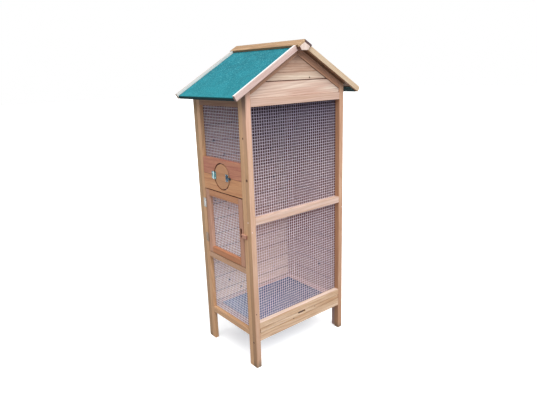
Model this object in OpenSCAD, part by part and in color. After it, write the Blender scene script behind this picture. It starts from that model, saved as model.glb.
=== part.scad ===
// Garden aviary: a timber bird house on four legs, with a felted gable roof,
// wire mesh on two sides, a round hatch, a side door and a slide-out tray.
// Units are millimetres. +Z is up, the mesh front faces -Y, the door side faces -X.

/* [Body] */
// Overall width over the outer faces of the corner posts
body_width = 650; // [560:5:760]
// Overall depth over the outer faces of the corner posts
body_depth = 464; // [420:4:600]
// Width of a front or back post, seen from the front
post_width = 30; // [26:1:34]
// Depth of a front or back post and of the rails between the posts
post_depth = 30; // [26:1:34]
// Width of a side stile, seen from the side
stile_width = 30; // [26:1:36]
// Thickness of the side stiles and side rails
stile_thick = 22; // [20:1:26]
// Thickness of the boards of the closed walls
wall_thick = 12; // [9:1:16]

/* [Front rails] */
// Height of the underside of the low base board
base_board_low = 153; // [120:1:165]
// Face height of the base board
base_board_height = 43; // [30:1:43]
// Thickness of the base board
base_board_thick = 18; // [12:1:22]
// Height of the underside of the front bottom rail
bottom_rail_low = 222; // [222:1:230]
// Face height of the front bottom rail
bottom_rail_height = 35; // [25:1:45]
// Height of the underside of the front mid rail
mid_rail_low = 791; // [700:1:880]
// Face height of the front mid rail
mid_rail_height = 35; // [25:1:45]
// Height of the underside of the top beams
top_beam_low = 1361; // [1330:1:1366]
// Face height of the top beams
top_beam_height = 36; // [25:1:40]

/* [Left side] */
// Height of the underside of the side bottom rail
side_bottom_low = 176; // [165:1:180]
// Face height of the side bottom rail
side_bottom_height = 32; // [28:1:36]
// Height of the underside of the rail below the door
side_mid_low = 523; // [440:1:600]
// Face height of the rail below the door
side_mid_height = 30; // [24:1:40]
// Height of the underside of the hatch board
hatch_board_low = 923; // [860:1:980]
// Face height of the hatch board
hatch_board_height = 170; // [165:1:200]

/* [Door] */
// Gap all round the door
door_gap = 5; // [5:0.5:7]
// Face width of the door stiles and door rails
door_member = 33; // [30:1:38]
// Thickness of the door frame
door_thick = 20; // [16:1:20]
// Length of the finger slot in the door
slot_length = 52; // [40:1:70]
// Width of the finger slot in the door
slot_width = 12; // [10:0.5:14]
// Length of the wooden turn button
button_length = 42; // [38:1:50]
// Height of the wooden turn button
button_height = 20; // [14:1:24]
// Thickness of the wooden turn button
button_thick = 7; // [6:1:12]
// Height of the turn button above the rail below the door
button_rise = 176; // [120:1:220]

/* [Hatch] */
// Radius of the wooden disc
disc_radius = 65; // [60:0.5:70]
// Gap between the disc and its hole
disc_gap = 6; // [5:0.5:7]
// Thickness of the disc
disc_thick = 20; // [14:1:20]
// Length of the hatch latch arm, from its pivot
latch_reach = 36; // [28:1:42]
// Width of the hatch latch arm
latch_width = 10; // [8:0.5:12]
// Thickness of the hatch latch arm
latch_thick = 2.5; // [2:0.5:4]
// Height of the latch's plate
latch_plate_height = 38; // [30:1:42]

/* [Hinges] */
// Radius of a hinge knuckle
knuckle_radius = 3.2; // [3:0.1:4]
// Radius of a hinge pin
pin_radius = 1.5; // [1.2:0.1:1.8]
// Thickness of a hinge leaf
leaf_thick = 1.6; // [1.2:0.1:2]
// Width of a hinge leaf
leaf_width = 20; // [16:1:26]
// Height of a door hinge
door_hinge_height = 50; // [36:1:60]
// Height of the hatch hinge
hatch_hinge_height = 40; // [30:1:46]
// Width of the hatch hinge's leaf on the disc
hatch_leaf_width = 13; // [12:1:20]
// Distance of each door hinge from the middle of the door
door_hinge_offset = 100; // [70:1:130]

/* [Tray] */
// Height of the tray's walls
tray_wall_height = 15; // [12:1:17]
// Sheet thickness of the tray
tray_sheet = 1.5; // [1.2:0.1:2]
// Thickness of the tray's wooden front strip
tray_front_thick = 12; // [10:1:16]
// Gap round the tray and its front strip
tray_gap = 3; // [2:0.5:4]
// Width of the finger notch in the front strip
notch_width = 52; // [40:1:80]
// Depth of the finger notch in the front strip
notch_depth = 12.5; // [8:0.5:13]
// Width of the side and back ledges round the tray, inside the frame
ledge_width = 43; // [36:1:50]
// Width of the lip that carries the tray
lip_width = 18; // [12:1:24]
// How far the tray's runners reach below the tray
runner_depth = 18; // [14:1:20]

/* [Roof] */
// Roof pitch in degrees
pitch = 30.2; // [27:0.1:33]
// Height of the gable boards beside the posts, above the top beams
gable_side = 19; // [12:1:30]
// Distance of each eave from the middle, along the underside
eave_run = 398; // [390:1:430]
// Thickness of the roof boards
roof_board = 12; // [9:1:18]
// Thickness of the roofing felt
felt_thick = 3; // [2:0.5:4]
// Overhang of the roof boards in front of the front posts
overhang_front = 24; // [15:1:40]
// Overhang of the roof boards behind the back posts
overhang_back = 12; // [8:1:40]
// Thickness of the bargeboards
barge_thick = 15; // [12:1:20]
// Face width of the bargeboards
barge_width = 27; // [24:1:32]
// How far the bargeboards run past the eave
barge_past = 6; // [3:1:10]
// Width of the raking rails in the gables
rake_width = 33; // [26:1:36]
// How far the gable boards sit behind the post faces
gable_recess = 5; // [3:1:8]

/* [Ridge] */
// Width of each ridge cap board
cap_width = 38; // [30:1:44]
// Thickness of each ridge cap board
cap_thick = 12; // [9:1:14]
// How far the cap and the apex blocks stand out past the bargeboards
cap_past = 14; // [8:1:20]
// Half width of an apex block at its shoulders
block_half = 33; // [28:1:36]
// Half width of an apex block at its foot
block_foot = 21; // [14:1:24]
// Height of an apex block below its shoulders
block_drop = 17; // [12:1:22]

/* [Mesh] */
// Thickness of a mesh panel: two crossing wires
mesh_thick = 2.4; // [2:0.1:3]
// How far a mesh panel laps behind the timber
mesh_lap = 10; // [8:1:14]
// Pitch of the plain openings, each in place of four by four squares of fine mesh
mesh_pitch = 58.4; // [52:0.4:64]
// Width of the bars between the plain openings
mesh_bar = 4; // [3:0.5:6]

/* [Shown piece] */
// Name of the piece to draw, or all

/* [Hidden] */

$fn = 64;
hx = body_width / 2;
hy = body_depth / 2;
px = hx - post_width;                 // inner side of a post
py = hy - post_depth;                 // inner face of the front or back frame
sx = hx - stile_thick;                // inner face of a side stile
sy = py - stile_width;                // edge of the side openings
front_reach = overhang_front + barge_thick + cap_past;
back_reach = overhang_back + barge_thick + cap_past;
body_shift = (front_reach - back_reach) / 2;  // centres the roof on the origin
y_roof_front = -hy - overhang_front;
y_roof_back = hy + overhang_back;
small_gap = 0.3;                      // seating and running gap
bed_gap = 0.1;                        // bedding between pieces that follow the roof
mitre_gap = 0.6;                      // saw cut between two mitred boards
button_back = 4.5;                    // turn button behind its pivot
eave_s = eave_run / cos(pitch);       // bargeboard length along the slope
ridge_under = top_beam_low + top_beam_height + gable_side + rake_width / cos(pitch) + px * tan(pitch);
cap_t = roof_board + felt_thick;      // top of the felt above the underside
side_bottom_top = side_bottom_low + side_bottom_height;
base_board_top = base_board_low + base_board_height;
tray_front_low = base_board_top + tray_gap;
tray_front_high = bottom_rail_low - tray_gap;
lip_top = tray_front_low - small_gap;
runner_low = lip_top - runner_depth;
door_low = side_mid_low + side_mid_height + door_gap;
door_high = hatch_board_low - door_gap;
door_half = sy - door_gap;
door_mid = (door_low + door_high) / 2;
hatch_z = hatch_board_low + hatch_board_height / 2 - 2;
hole_radius = disc_radius + disc_gap;
axis_x = -hx - knuckle_radius;        // hinge axes, just outside the left face
door_axis_y = sy - door_gap / 2;
hatch_axis_y = disc_radius + disc_gap / 2;
latch_y = -(disc_radius - 18);        // pivot of the hatch latch
button_y = -(door_half - button_back); // pivot of the turn button
button_z = side_mid_low + side_mid_height + button_rise;
slot_z = door_mid;
slot_y = -(door_half - door_member / 2 - 3.5);
tray_half = sx - ledge_width - tray_gap;
tray_back = py + (post_depth - wall_thick) - ledge_width - tray_gap;
block_shoulder = ridge_under + cap_t / cos(pitch) - block_half * tan(pitch);

// Height of a plane that lies t above the roof boards' underside, at distance x
function plane_z(x, t) = ridge_under + t / cos(pitch) - x * tan(pitch);

// A point of the left slope: s down the slope, t above the underside
function slope_pt(s, t) = [-(s * cos(pitch) + t * sin(pitch)),
  ridge_under - s * sin(pitch) + t * cos(pitch)];

// Places a piece of the body so that the roof is centred on the origin
module on_body() {
  translate([0, body_shift, 0]) children();
}

// A box given by two corners
module box(a, b) {
  translate(a) cube(b - a);
}

// Extrudes an outline in X and Z from y0 to y1
module across(y0, y1) {
  translate([0, y1, 0]) rotate([90, 0, 0]) linear_extrude(y1 - y0) children();
}

// Outline of a layer of the left slope with a plumb cut at the ridge
module slope_layer(t0, t1, s_end) {
  g = mitre_gap / 2;
  polygon([[-g, plane_z(g, t0)], [-g, plane_z(g, t1)], slope_pt(s_end, t1), slope_pt(s_end, t0)]);
}

// Draws its child on the left and, mirrored, on the right
module both_sides() {
  children();
  mirror([1, 0, 0]) children();
}

// Outline of an upright whose top follows the roof, from x0 to x1 on the left
module upright(x0, x1, low) {
  polygon([[-x0, low], [-x1, low], [-x1, plane_z(x1, 0)], [-x0, plane_z(x0, 0)]]);
}

// ---- Frame ----

module front_posts() {
  color("tan") on_body() both_sides()
    across(-hy, -py) upright(px, hx, 0);
}

module back_posts() {
  color("tan") on_body() both_sides()
    across(py, hy) upright(px, hx, 0);
}

module side_stiles() {
  color("burlywood") on_body() both_sides() {
    across(-py, -sy) upright(sx, hx, 0);
    across(sy, py) upright(sx, hx, 0);
  }
}

module front_top_beam() {
  color("wheat") on_body()
    box([-px, -hy, top_beam_low], [px, -py, top_beam_low + top_beam_height]);
}

module back_top_beam() {
  color("wheat") on_body()
    box([-px, py, top_beam_low], [px, hy, top_beam_low + top_beam_height]);
}

module front_mid_rail() {
  color("wheat") on_body()
    box([-px, -hy, mid_rail_low], [px, -py, mid_rail_low + mid_rail_height]);
}

module front_bottom_rail() {
  color("wheat") on_body()
    box([-px, -hy, bottom_rail_low], [px, -py, bottom_rail_low + bottom_rail_height]);
}

module front_base_board() {
  color("wheat") on_body()
    box([-px, -hy, base_board_low], [px, -hy + base_board_thick, base_board_top]);
}

module back_wall() {
  color("peru") on_body()
    box([-px, hy - wall_thick, runner_low], [px, hy, top_beam_low]);
}

module right_wall() {
  color("peru") on_body()
    box([hx - wall_thick, -sy, runner_low], [hx, sy, top_beam_low]);
}

module side_top_rails() {
  color("tan") on_body() both_sides()
    across(-sy, sy) upright(sx, hx, top_beam_low);
}

module left_mid_rail() {
  color("orange") on_body()
    box([-hx, -sy, side_mid_low], [-sx, sy, side_mid_low + side_mid_height]);
}

module left_bottom_rail() {
  color("orange") on_body()
    box([-hx, -sy, side_bottom_low], [-sx, sy, side_bottom_top]);
}

module hatch_board() {
  color("chocolate") on_body() difference() {
    box([-hx, -sy, hatch_board_low], [-sx, sy, hatch_board_low + hatch_board_height]);
    translate([-hx - 1, 0, hatch_z]) rotate([0, 90, 0]) cylinder(h = stile_thick + 2, r = hole_radius);
  }
}

// ---- Floor ----

module tray_runners() {
  inner = sx - ledge_width;
  lip_end = hy - wall_thick - ledge_width;
  color("burlywood") on_body() {
    box([-sx, -py, runner_low], [-inner, py, side_bottom_top]);
    box([-inner, -py, runner_low], [-inner + lip_width, lip_end, lip_top]);
    box([inner, -py, runner_low], [sx, py, side_bottom_top]);
    box([inner - lip_width, -py, runner_low], [inner, lip_end, lip_top]);
    box([sx, -sy, runner_low], [hx - wall_thick, sy, side_bottom_top]);
  }
}

module back_ledge() {
  inner = sx - ledge_width;
  front = hy - wall_thick - ledge_width;
  color("burlywood") on_body() {
    box([-inner, front, runner_low], [inner, py, side_bottom_top]);
    box([-px, py, runner_low], [px, hy - wall_thick, side_bottom_top]);
  }
}

// ---- Gables ----

module rakes(y0, y1) {
  both_sides() across(y0, y1) polygon([
    [-px, plane_z(px, 0)], [-mitre_gap / 2, plane_z(mitre_gap / 2, 0)],
    [-mitre_gap / 2, plane_z(mitre_gap / 2, -rake_width)], [-px, plane_z(px, -rake_width)]]);
}

module gable(y0, y1) {
  t = -rake_width - bed_gap;
  across(y0, y1) polygon([
    [-px, top_beam_low + top_beam_height], [px, top_beam_low + top_beam_height],
    [px, plane_z(px, t)], [0, plane_z(0, t)], [-px, plane_z(px, t)]]);
}

module front_rakes() {
  color("tan") on_body() rakes(-hy, -py);
}

module back_rakes() {
  color("tan") on_body() rakes(py, hy);
}

module front_gable() {
  color("bisque") on_body() gable(-hy + gable_recess, -hy + gable_recess + wall_thick);
}

module back_gable() {
  color("bisque") on_body() gable(hy - gable_recess - wall_thick, hy - gable_recess);
}

// ---- Roof ----

module roof_boards() {
  color("sienna") on_body() both_sides()
    across(y_roof_front, y_roof_back) slope_layer(bed_gap, roof_board, eave_s - barge_past);
}

module roof_felt() {
  fold = eave_s - barge_past + bed_gap;
  color("teal") on_body() both_sides() across(y_roof_front, y_roof_back) union() {
    slope_layer(roof_board + bed_gap, cap_t, fold + felt_thick);
    polygon([slope_pt(fold, 0), slope_pt(fold, cap_t),
      slope_pt(fold + felt_thick, cap_t), slope_pt(fold + felt_thick, 0)]);
  }
}

// Outline of a left bargeboard, square cut at both ends
module barge_outline() {
  s0 = (block_half + 0.4) / cos(pitch);
  polygon([slope_pt(s0, 0), slope_pt(s0, barge_width),
    slope_pt(eave_s, barge_width), slope_pt(eave_s, 0)]);
}

module front_barge_left() {
  color("mistyrose") on_body()
    across(y_roof_front - barge_thick, y_roof_front) barge_outline();
}

module front_barge_right() {
  color("khaki") on_body() mirror([1, 0, 0])
    across(y_roof_front - barge_thick, y_roof_front) barge_outline();
}

module back_barges() {
  color("khaki") on_body() both_sides()
    across(y_roof_back, y_roof_back + barge_thick) barge_outline();
}

module ridge_cap() {
  color("sandybrown") on_body() both_sides()
    across(-hy - front_reach, hy + back_reach) slope_layer(cap_t + bed_gap, cap_t + cap_thick, cap_width);
}

module apex_block(y0, y1) {
  across(y0, y1) polygon([[0, plane_z(0, cap_t)], [block_half, block_shoulder],
    [block_foot, block_shoulder - block_drop], [-block_foot, block_shoulder - block_drop],
    [-block_half, block_shoulder]]);
}

module apex_blocks() {
  color("linen") on_body() {
    apex_block(-hy - front_reach, y_roof_front);
    apex_block(y_roof_back, hy + back_reach);
  }
}

// ---- Mesh ----

// A flat panel with a plain grid of openings inside its laps
module mesh_sheet(width, height) {
  open_x = width - 2 * mesh_lap + mesh_bar;
  open_y = height - 2 * mesh_lap + mesh_bar;
  count_x = round(open_x / mesh_pitch);
  count_y = round(open_y / mesh_pitch);
  difference() {
    square([width, height]);
    for (i = [0 : count_x - 1], j = [0 : count_y - 1])
      translate([mesh_lap + i * open_x / count_x, mesh_lap + j * open_y / count_y])
        square([open_x / count_x - mesh_bar, open_y / count_y - mesh_bar]);
  }
}

// A mesh panel parallel to the front, between two corners
module mesh_across(low, high) {
  translate([low[0], high[1], low[2]]) rotate([90, 0, 0]) linear_extrude(high[1] - low[1])
    mesh_sheet(high[0] - low[0], high[2] - low[2]);
}

// A mesh panel parallel to the left side, between two corners
module mesh_along(low, high) {
  translate(low) rotate([90, 0, 90]) linear_extrude(high[0] - low[0])
    mesh_sheet(high[1] - low[1], high[2] - low[2]);
}

module mesh_front_upper() {
  color("silver") on_body()
    mesh_across([-sx + small_gap, -py, mid_rail_low + mid_rail_height / 2 + small_gap],
      [sx - small_gap, -py + mesh_thick, top_beam_low + mesh_lap]);
}

module mesh_front_lower() {
  color("silver") on_body()
    mesh_across([-sx + small_gap, -py, bottom_rail_low + bottom_rail_height - mesh_lap],
      [sx - small_gap, -py + mesh_thick, mid_rail_low + mid_rail_height / 2 - small_gap]);
}

module mesh_left_upper() {
  color("silver") on_body()
    mesh_along([-sx, -sy - mesh_lap, hatch_board_low + hatch_board_height - mesh_lap],
      [-sx + mesh_thick, sy + mesh_lap, top_beam_low + mesh_lap]);
}

module mesh_left_lower() {
  color("silver") on_body()
    mesh_along([-sx, -sy - mesh_lap, side_bottom_top],
      [-sx + mesh_thick, sy + mesh_lap, side_mid_low + mesh_lap]);
}

// ---- Hinges ----

// Fixed half of a hinge: outer knuckles with the pin, and a leaf towards +Y
module fixed_hinge(yc, zc, height) {
  third = height / 3;
  translate([axis_x, yc, zc - height / 2]) {
    cylinder(h = third - small_gap, r = knuckle_radius);
    cylinder(h = height, r = pin_radius);
    translate([0, 0, 2 * third + small_gap]) cylinder(h = third - small_gap, r = knuckle_radius);
    difference() {
      translate([knuckle_radius - leaf_thick, 0, 0]) cube([leaf_thick, leaf_width + knuckle_radius, height]);
      translate([-knuckle_radius, -1, third - small_gap])
        cube([3 * knuckle_radius, knuckle_radius + 1.6, third + 2 * small_gap]);
    }
  }
}

// Middle knuckle of a hinge, bored for the pin
module moving_knuckle(height) {
  third = height / 3;
  translate([0, 0, third]) cylinder(h = third, r = knuckle_radius);
}

// Bore for the pin
module pin_bore(height) {
  translate([0, 0, -1]) cylinder(h = height + 2, r = pin_radius + 0.2);
}

module hatch_hinge_plate() {
  color("lightcyan") on_body() fixed_hinge(hatch_axis_y, hatch_z, hatch_hinge_height);
}

module door_hinge_plates() {
  color("gainsboro") on_body() {
    fixed_hinge(door_axis_y, door_mid - door_hinge_offset, door_hinge_height);
    fixed_hinge(door_axis_y, door_mid + door_hinge_offset, door_hinge_height);
  }
}

module hatch_hinge_leaf() {
  third = hatch_hinge_height / 3;
  back = knuckle_radius + 0.5;
  color("lightcyan") on_body() translate([axis_x, hatch_axis_y, hatch_z - hatch_hinge_height / 2])
    difference() {
      union() {
        moving_knuckle(hatch_hinge_height);
        translate([knuckle_radius - leaf_thick, -hatch_leaf_width - knuckle_radius, 0])
          cube([leaf_thick, hatch_leaf_width + knuckle_radius - back, hatch_hinge_height]);
        translate([knuckle_radius - leaf_thick, -back - 1, third])
          cube([leaf_thick, back + 1, third]);
      }
      pin_bore(hatch_hinge_height);
    }
}

// Moving half of a door hinge: its leaf lies on the door's edge, in the gap
module door_leaf(zc) {
  third = door_hinge_height / 3;
  edge = door_gap / 2;
  translate([axis_x, door_axis_y, zc - door_hinge_height / 2]) difference() {
    union() {
      moving_knuckle(door_hinge_height);
      translate([knuckle_radius + 0.4, -edge, 0]) cube([door_thick - 4, leaf_thick, door_hinge_height]);
      translate([0, -edge, third]) cube([knuckle_radius + 1, leaf_thick, third]);
    }
    pin_bore(door_hinge_height);
  }
}

module door_hinge_leaves() {
  color("gainsboro") on_body() {
    door_leaf(door_mid - door_hinge_offset);
    door_leaf(door_mid + door_hinge_offset);
  }
}

// ---- Door ----

module door_hinge_stile() {
  color("darkorange") on_body()
    box([-hx, door_half - door_member, door_low], [-hx + door_thick, door_half, door_high]);
}

module door_latch_stile() {
  run = slot_length - slot_width;
  color("darkorange") on_body() difference() {
    box([-hx, -door_half, door_low], [-hx + door_thick, -door_half + door_member, door_high]);
    translate([-hx - 1, slot_y, slot_z - run / 2]) rotate([0, 90, 0])
      cylinder(h = door_thick + 2, r = slot_width / 2);
    translate([-hx - 1, slot_y, slot_z + run / 2]) rotate([0, 90, 0])
      cylinder(h = door_thick + 2, r = slot_width / 2);
    translate([-hx - 1, slot_y - slot_width / 2, slot_z - run / 2])
      cube([door_thick + 2, slot_width, run]);
  }
}

module door_rails() {
  inner = door_half - door_member;
  color("darkorange") on_body() {
    box([-hx, -inner, door_low], [-hx + door_thick, inner, door_low + door_member]);
    box([-hx, -inner, door_high - door_member], [-hx + door_thick, inner, door_high]);
  }
}

module door_mesh() {
  inner = door_half - door_member + mesh_lap;
  color("silver") on_body()
    mesh_along([-hx + door_thick, -inner, door_low + door_member - mesh_lap],
      [-hx + door_thick + mesh_thick, inner, door_high - door_member + mesh_lap]);
}

module door_button_screw() {
  out = small_gap + 0.5 + button_thick + small_gap;
  color("dimgray") on_body() translate([-hx, button_y, button_z]) rotate([0, -90, 0]) {
    cylinder(h = out + 1, r = 2);
    translate([0, 0, out]) cylinder(h = 2, r = 3.5);
  }
}

module door_button() {
  back = button_back;
  color("peru") on_body() difference() {
    box([-hx - small_gap - 0.5 - button_thick, button_y - button_length + back, button_z - button_height / 2],
      [-hx - small_gap - 0.5, button_y + back, button_z + button_height / 2]);
    translate([-hx + 1, button_y, button_z]) rotate([0, -90, 0])
      cylinder(h = button_thick + 4, r = 2.2);
  }
}

// ---- Hatch ----

module hatch_disc() {
  color("sandybrown") on_body() translate([-hx, 0, hatch_z]) rotate([0, 90, 0])
    cylinder(h = disc_thick, r = disc_radius);
}

module hatch_latch_plate() {
  out = leaf_thick + 2 * small_gap + latch_thick;
  color("slategray") on_body() translate([-hx, latch_y, hatch_z]) {
    translate([-leaf_thick, -11, -latch_plate_height / 2]) cube([leaf_thick, 22, latch_plate_height]);
    rotate([0, -90, 0]) {
      cylinder(h = out + 1, r = 2.5);
      translate([0, 0, out]) cylinder(h = 2, r = 4.5);
    }
  }
}

module hatch_latch() {
  x1 = -hx - leaf_thick - small_gap;
  color("darkslategray") on_body() translate([x1, latch_y, hatch_z]) difference() {
    union() {
      rotate([0, -90, 0]) cylinder(h = latch_thick, r = latch_width * 0.65);
      translate([-latch_thick, -latch_reach, -latch_width / 2])
        cube([latch_thick, latch_reach, latch_width]);
      translate([-latch_thick - 6, -latch_reach, -latch_width / 2])
        cube([6.5, 3, latch_width]);
    }
    translate([1, 0, 0]) rotate([0, -90, 0]) cylinder(h = latch_thick + 2, r = 2.7);
  }
}

// ---- Tray ----

module tray_pan() {
  y0 = -hy + tray_front_thick;
  color("lightsteelblue") on_body() difference() {
    box([-tray_half, y0, tray_front_low], [tray_half, tray_back, tray_front_low + tray_wall_height]);
    box([-tray_half + tray_sheet, y0 + tray_sheet, tray_front_low + tray_sheet],
      [tray_half - tray_sheet, tray_back - tray_sheet, tray_front_low + tray_wall_height + 1]);
  }
}

module tray_front() {
  r = notch_depth / 2;
  z = tray_front_high - notch_depth + r;
  color("wheat") on_body() difference() {
    box([-px + tray_gap, -hy, tray_front_low], [px - tray_gap, -hy + tray_front_thick, tray_front_high]);
    for (side = [-1, 1])
      translate([side * (notch_width / 2 - r), -hy - 1, z]) rotate([-90, 0, 0])
        cylinder(h = tray_front_thick + 2, r = r);
    box([-notch_width / 2 + r, -hy - 1, z - r], [notch_width / 2 - r, -hy + tray_front_thick + 1, z + 1]);
    box([-notch_width / 2, -hy - 1, z], [notch_width / 2, -hy + tray_front_thick + 1, tray_front_high + 1]);
  }
}

front_posts();
back_posts();
side_stiles();
front_top_beam();
front_mid_rail();
front_bottom_rail();
front_base_board();
back_top_beam();
back_wall();
right_wall();
side_top_rails();
left_mid_rail();
left_bottom_rail();
hatch_board();
tray_runners();
back_ledge();
front_rakes();
back_rakes();
front_gable();
back_gable();
roof_boards();
roof_felt();
front_barge_left();
front_barge_right();
back_barges();
ridge_cap();
apex_blocks();
mesh_front_upper();
mesh_front_lower();
mesh_left_upper();
mesh_left_lower();
hatch_hinge_plate();
door_hinge_plates();
door_hinge_stile();
door_latch_stile();
door_rails();
door_mesh();
door_hinge_leaves();
door_button_screw();
door_button();
hatch_disc();
hatch_hinge_leaf();
hatch_latch_plate();
hatch_latch();
tray_pan();
tray_front();
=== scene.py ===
"""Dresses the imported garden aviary: stained fir, mineral felt, welded wire and zinc plate.

Sizes in the classes are millimetres in the part's own frame, and meshes are metres.
The front looks along -Y, and the door and the hatch are in the side at -X.
"""

import logging
import math
import random
from collections.abc import Callable, Iterable, Iterator, Sequence
from contextlib import contextmanager
from dataclasses import dataclass, field, replace
from enum import Enum
from typing import NamedTuple

import bpy
from mathutils import Euler, Matrix, Vector


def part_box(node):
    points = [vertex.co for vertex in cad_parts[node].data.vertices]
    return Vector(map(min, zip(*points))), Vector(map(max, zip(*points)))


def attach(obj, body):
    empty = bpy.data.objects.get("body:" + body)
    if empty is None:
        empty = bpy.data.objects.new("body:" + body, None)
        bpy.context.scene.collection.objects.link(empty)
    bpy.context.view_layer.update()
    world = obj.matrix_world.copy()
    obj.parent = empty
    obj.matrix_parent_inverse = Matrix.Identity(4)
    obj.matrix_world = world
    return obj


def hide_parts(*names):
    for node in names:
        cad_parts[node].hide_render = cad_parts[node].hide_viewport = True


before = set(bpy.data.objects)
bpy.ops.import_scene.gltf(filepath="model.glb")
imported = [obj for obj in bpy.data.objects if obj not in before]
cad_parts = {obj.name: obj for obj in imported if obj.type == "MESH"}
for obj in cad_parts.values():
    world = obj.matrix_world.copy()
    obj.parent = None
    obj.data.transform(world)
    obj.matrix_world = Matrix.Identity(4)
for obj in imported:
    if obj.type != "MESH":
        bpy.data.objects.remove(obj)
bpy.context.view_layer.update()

LOG = logging.getLogger("aviary")
MM = 0.001
PITCH = math.radians(30.2)
SLOPE_RUN = Vector((math.cos(PITCH), 0.0, math.sin(PITCH)))
TONGUE = 4.0  # How far a board's tongue stands up
ARRIS = 1.2  # Rounding of a planed edge
MITRE = 0.3  # Half of the saw cut between two mitred boards
SKIN = -326.6  # Outer face of the side's hinges and plates, along X
CLOSE = 3.0  # How far from a joint its dirt reaches
HINGE_LINE = 738.0  # Height halfway between the door's hinges
WELD = 1e-6  # Points closer than this are merged, in metres
NEAR = 1e-5  # Points closer than this are at the same place, in metres
OVERCUT = 5.0  # How far a cutter stands out of what it cuts
SLACK = 0.2  # Play of a test for the faces inside a cut
FLAT = 0.9  # A face whose normal is this far along an axis is square to it
NEAR_FLAT = 0.8  # The same, with the first facets of its eased edges
PRESSED = 0.35  # Rounding of a pressed plate's edge
PITH = (28.0, 75.0)  # Nearest and furthest that a bar was cut from the pith
LEAN = 0.05  # Most that a bar's fibres lean off its length
LOG_RUN = 40.0  # Length of log that the bars are spread along, in metres

# Sockets of the colour Mix node
SHARE, UNDER, OVER, MIXED = 0, 6, 7, 2

Point = tuple[float, float, float]
Object = bpy.types.Object
Socket = bpy.types.NodeSocket
Tree = bpy.types.NodeTree
FaceTest = Callable[[bpy.types.MeshPolygon], bool]


class Grain(Enum):
    """Which way the fibres of a bar run."""

    UPRIGHT = (0.0, 0.0, 1.0)
    ACROSS_FRONT = (1.0, 0.0, 0.0)
    ALONG_SIDE = (0.0, 1.0, 0.0)
    UP_LEFT_SLOPE = (SLOPE_RUN.x, 0.0, SLOPE_RUN.z)
    UP_RIGHT_SLOPE = (SLOPE_RUN.x, 0.0, -SLOPE_RUN.z)


class Body(Enum):
    """The bodies that pieces ride on."""

    CAGE = "cage"
    DOOR = "door"
    BUTTON = "turn_button"
    HATCH = "hatch"
    LATCH = "latch_arm"
    TRAY = "tray"


class Side(Enum):
    """The two slopes of the roof, as the sign of X."""

    LEFT = -1.0
    RIGHT = 1.0

    @property
    def grain(self) -> Grain:
        """The grain of a bar that runs up the slope."""
        return Grain.UP_LEFT_SLOPE if self is Side.LEFT else Grain.UP_RIGHT_SLOPE


# ---- Bench: shaping by operators ----


def pick_up(*pieces: Object) -> Object:
    """Selects pieces and nothing else.

    Args:
        pieces: The pieces that the next operator acts on.

    Returns:
        The first piece, which is active.
    """
    bpy.ops.object.select_all(action="DESELECT")
    for piece in pieces:
        piece.select_set(True)
    bpy.context.view_layer.objects.active = pieces[0]
    return pieces[0]


def seat(piece: Object) -> Object:
    """Moves a piece's place, turn and scale into its mesh.

    Args:
        piece: The piece.

    Returns:
        The same piece, at the origin.
    """
    pick_up(piece)
    bpy.ops.object.transform_apply(location=True, rotation=True, scale=True)
    return piece


def added(name: str) -> Object:
    """Names the shape that was just added, seats it at the origin and returns it."""
    bpy.context.object.name = name
    return seat(bpy.context.object)


def block(name: str, low: Sequence[float], high: Sequence[float]) -> Object:
    """Adds a plain block between two corners.

    Args:
        name: The block's name.
        low: Its lowest corner, in millimetres.
        high: Its highest corner, in millimetres.

    Returns:
        The block, at the origin.
    """
    low, high = Vector(low) * MM, Vector(high) * MM
    bpy.ops.mesh.primitive_cube_add(size=1.0, location=(low + high) / 2, scale=high - low)
    return added(name)


def rod(name: str, radius: float, start: Sequence[float], end: Sequence[float], sides: int = 24) -> Object:
    """Adds a round rod between two points.

    Args:
        name: The rod's name.
        radius: Its radius, in millimetres.
        start: The middle of its first end, in millimetres.
        end: The middle of its other end, in millimetres.
        sides: How many sides its section has.

    Returns:
        The rod, at the origin.
    """
    start, end = Vector(start) * MM, Vector(end) * MM
    run = end - start
    bpy.ops.mesh.primitive_cylinder_add(
        vertices=sides,
        radius=radius * MM,
        depth=run.length,
        location=(start + end) / 2,
        rotation=run.to_track_quat("Z", "Y").to_euler(),
    )
    return added(name)


@contextmanager
def opened(
    piece: Object, faces: FaceTest | None = None, edges: Callable[[Vector, Vector], bool] | None = None
) -> Iterator[None]:
    """Opens a piece in edit mode, with all of it selected unless a test is given, and closes it after the work.

    Args:
        piece: The piece.
        faces: Says of a face whether it is selected.
        edges: Says of an edge's two ends whether it is selected.
    """
    pick_up(piece)
    mesh = piece.data
    if faces or edges:
        bpy.context.tool_settings.mesh_select_mode = (False, bool(edges), bool(faces))
        for part in (mesh.vertices, mesh.edges, mesh.polygons):
            part.foreach_set("select", [False] * len(part))
    for face in mesh.polygons if faces else ():
        face.select = faces(face)
    for edge in mesh.edges if edges else ():
        edge.select = edges(*(mesh.vertices[i].co for i in edge.vertices))
    bpy.ops.object.mode_set(mode="EDIT")
    if not (faces or edges):
        bpy.ops.mesh.select_all(action="SELECT")
    yield
    bpy.ops.object.mode_set(mode="OBJECT")


def pull(x: float, y: float, z: float) -> None:
    """Extrudes what is selected by a distance in metres."""
    bpy.ops.mesh.extrude_region_move(TRANSFORM_OT_translate={"value": (x, y, z)})


def saw(piece: Object, point: Vector, away: Vector, drop: bool = True) -> Object:
    """Saws a piece through, or only draws a line of edges round it where two finishes meet.

    Args:
        piece: The piece.
        point: A point of the cut, in metres.
        away: Points across the cut, to the side that is dropped.
        drop: Whether that side is dropped and the cut is closed.

    Returns:
        The piece.
    """
    with opened(piece):
        bpy.ops.mesh.bisect(plane_co=point, plane_no=away, use_fill=drop, clear_outer=drop, threshold=WELD)
    return piece


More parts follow.
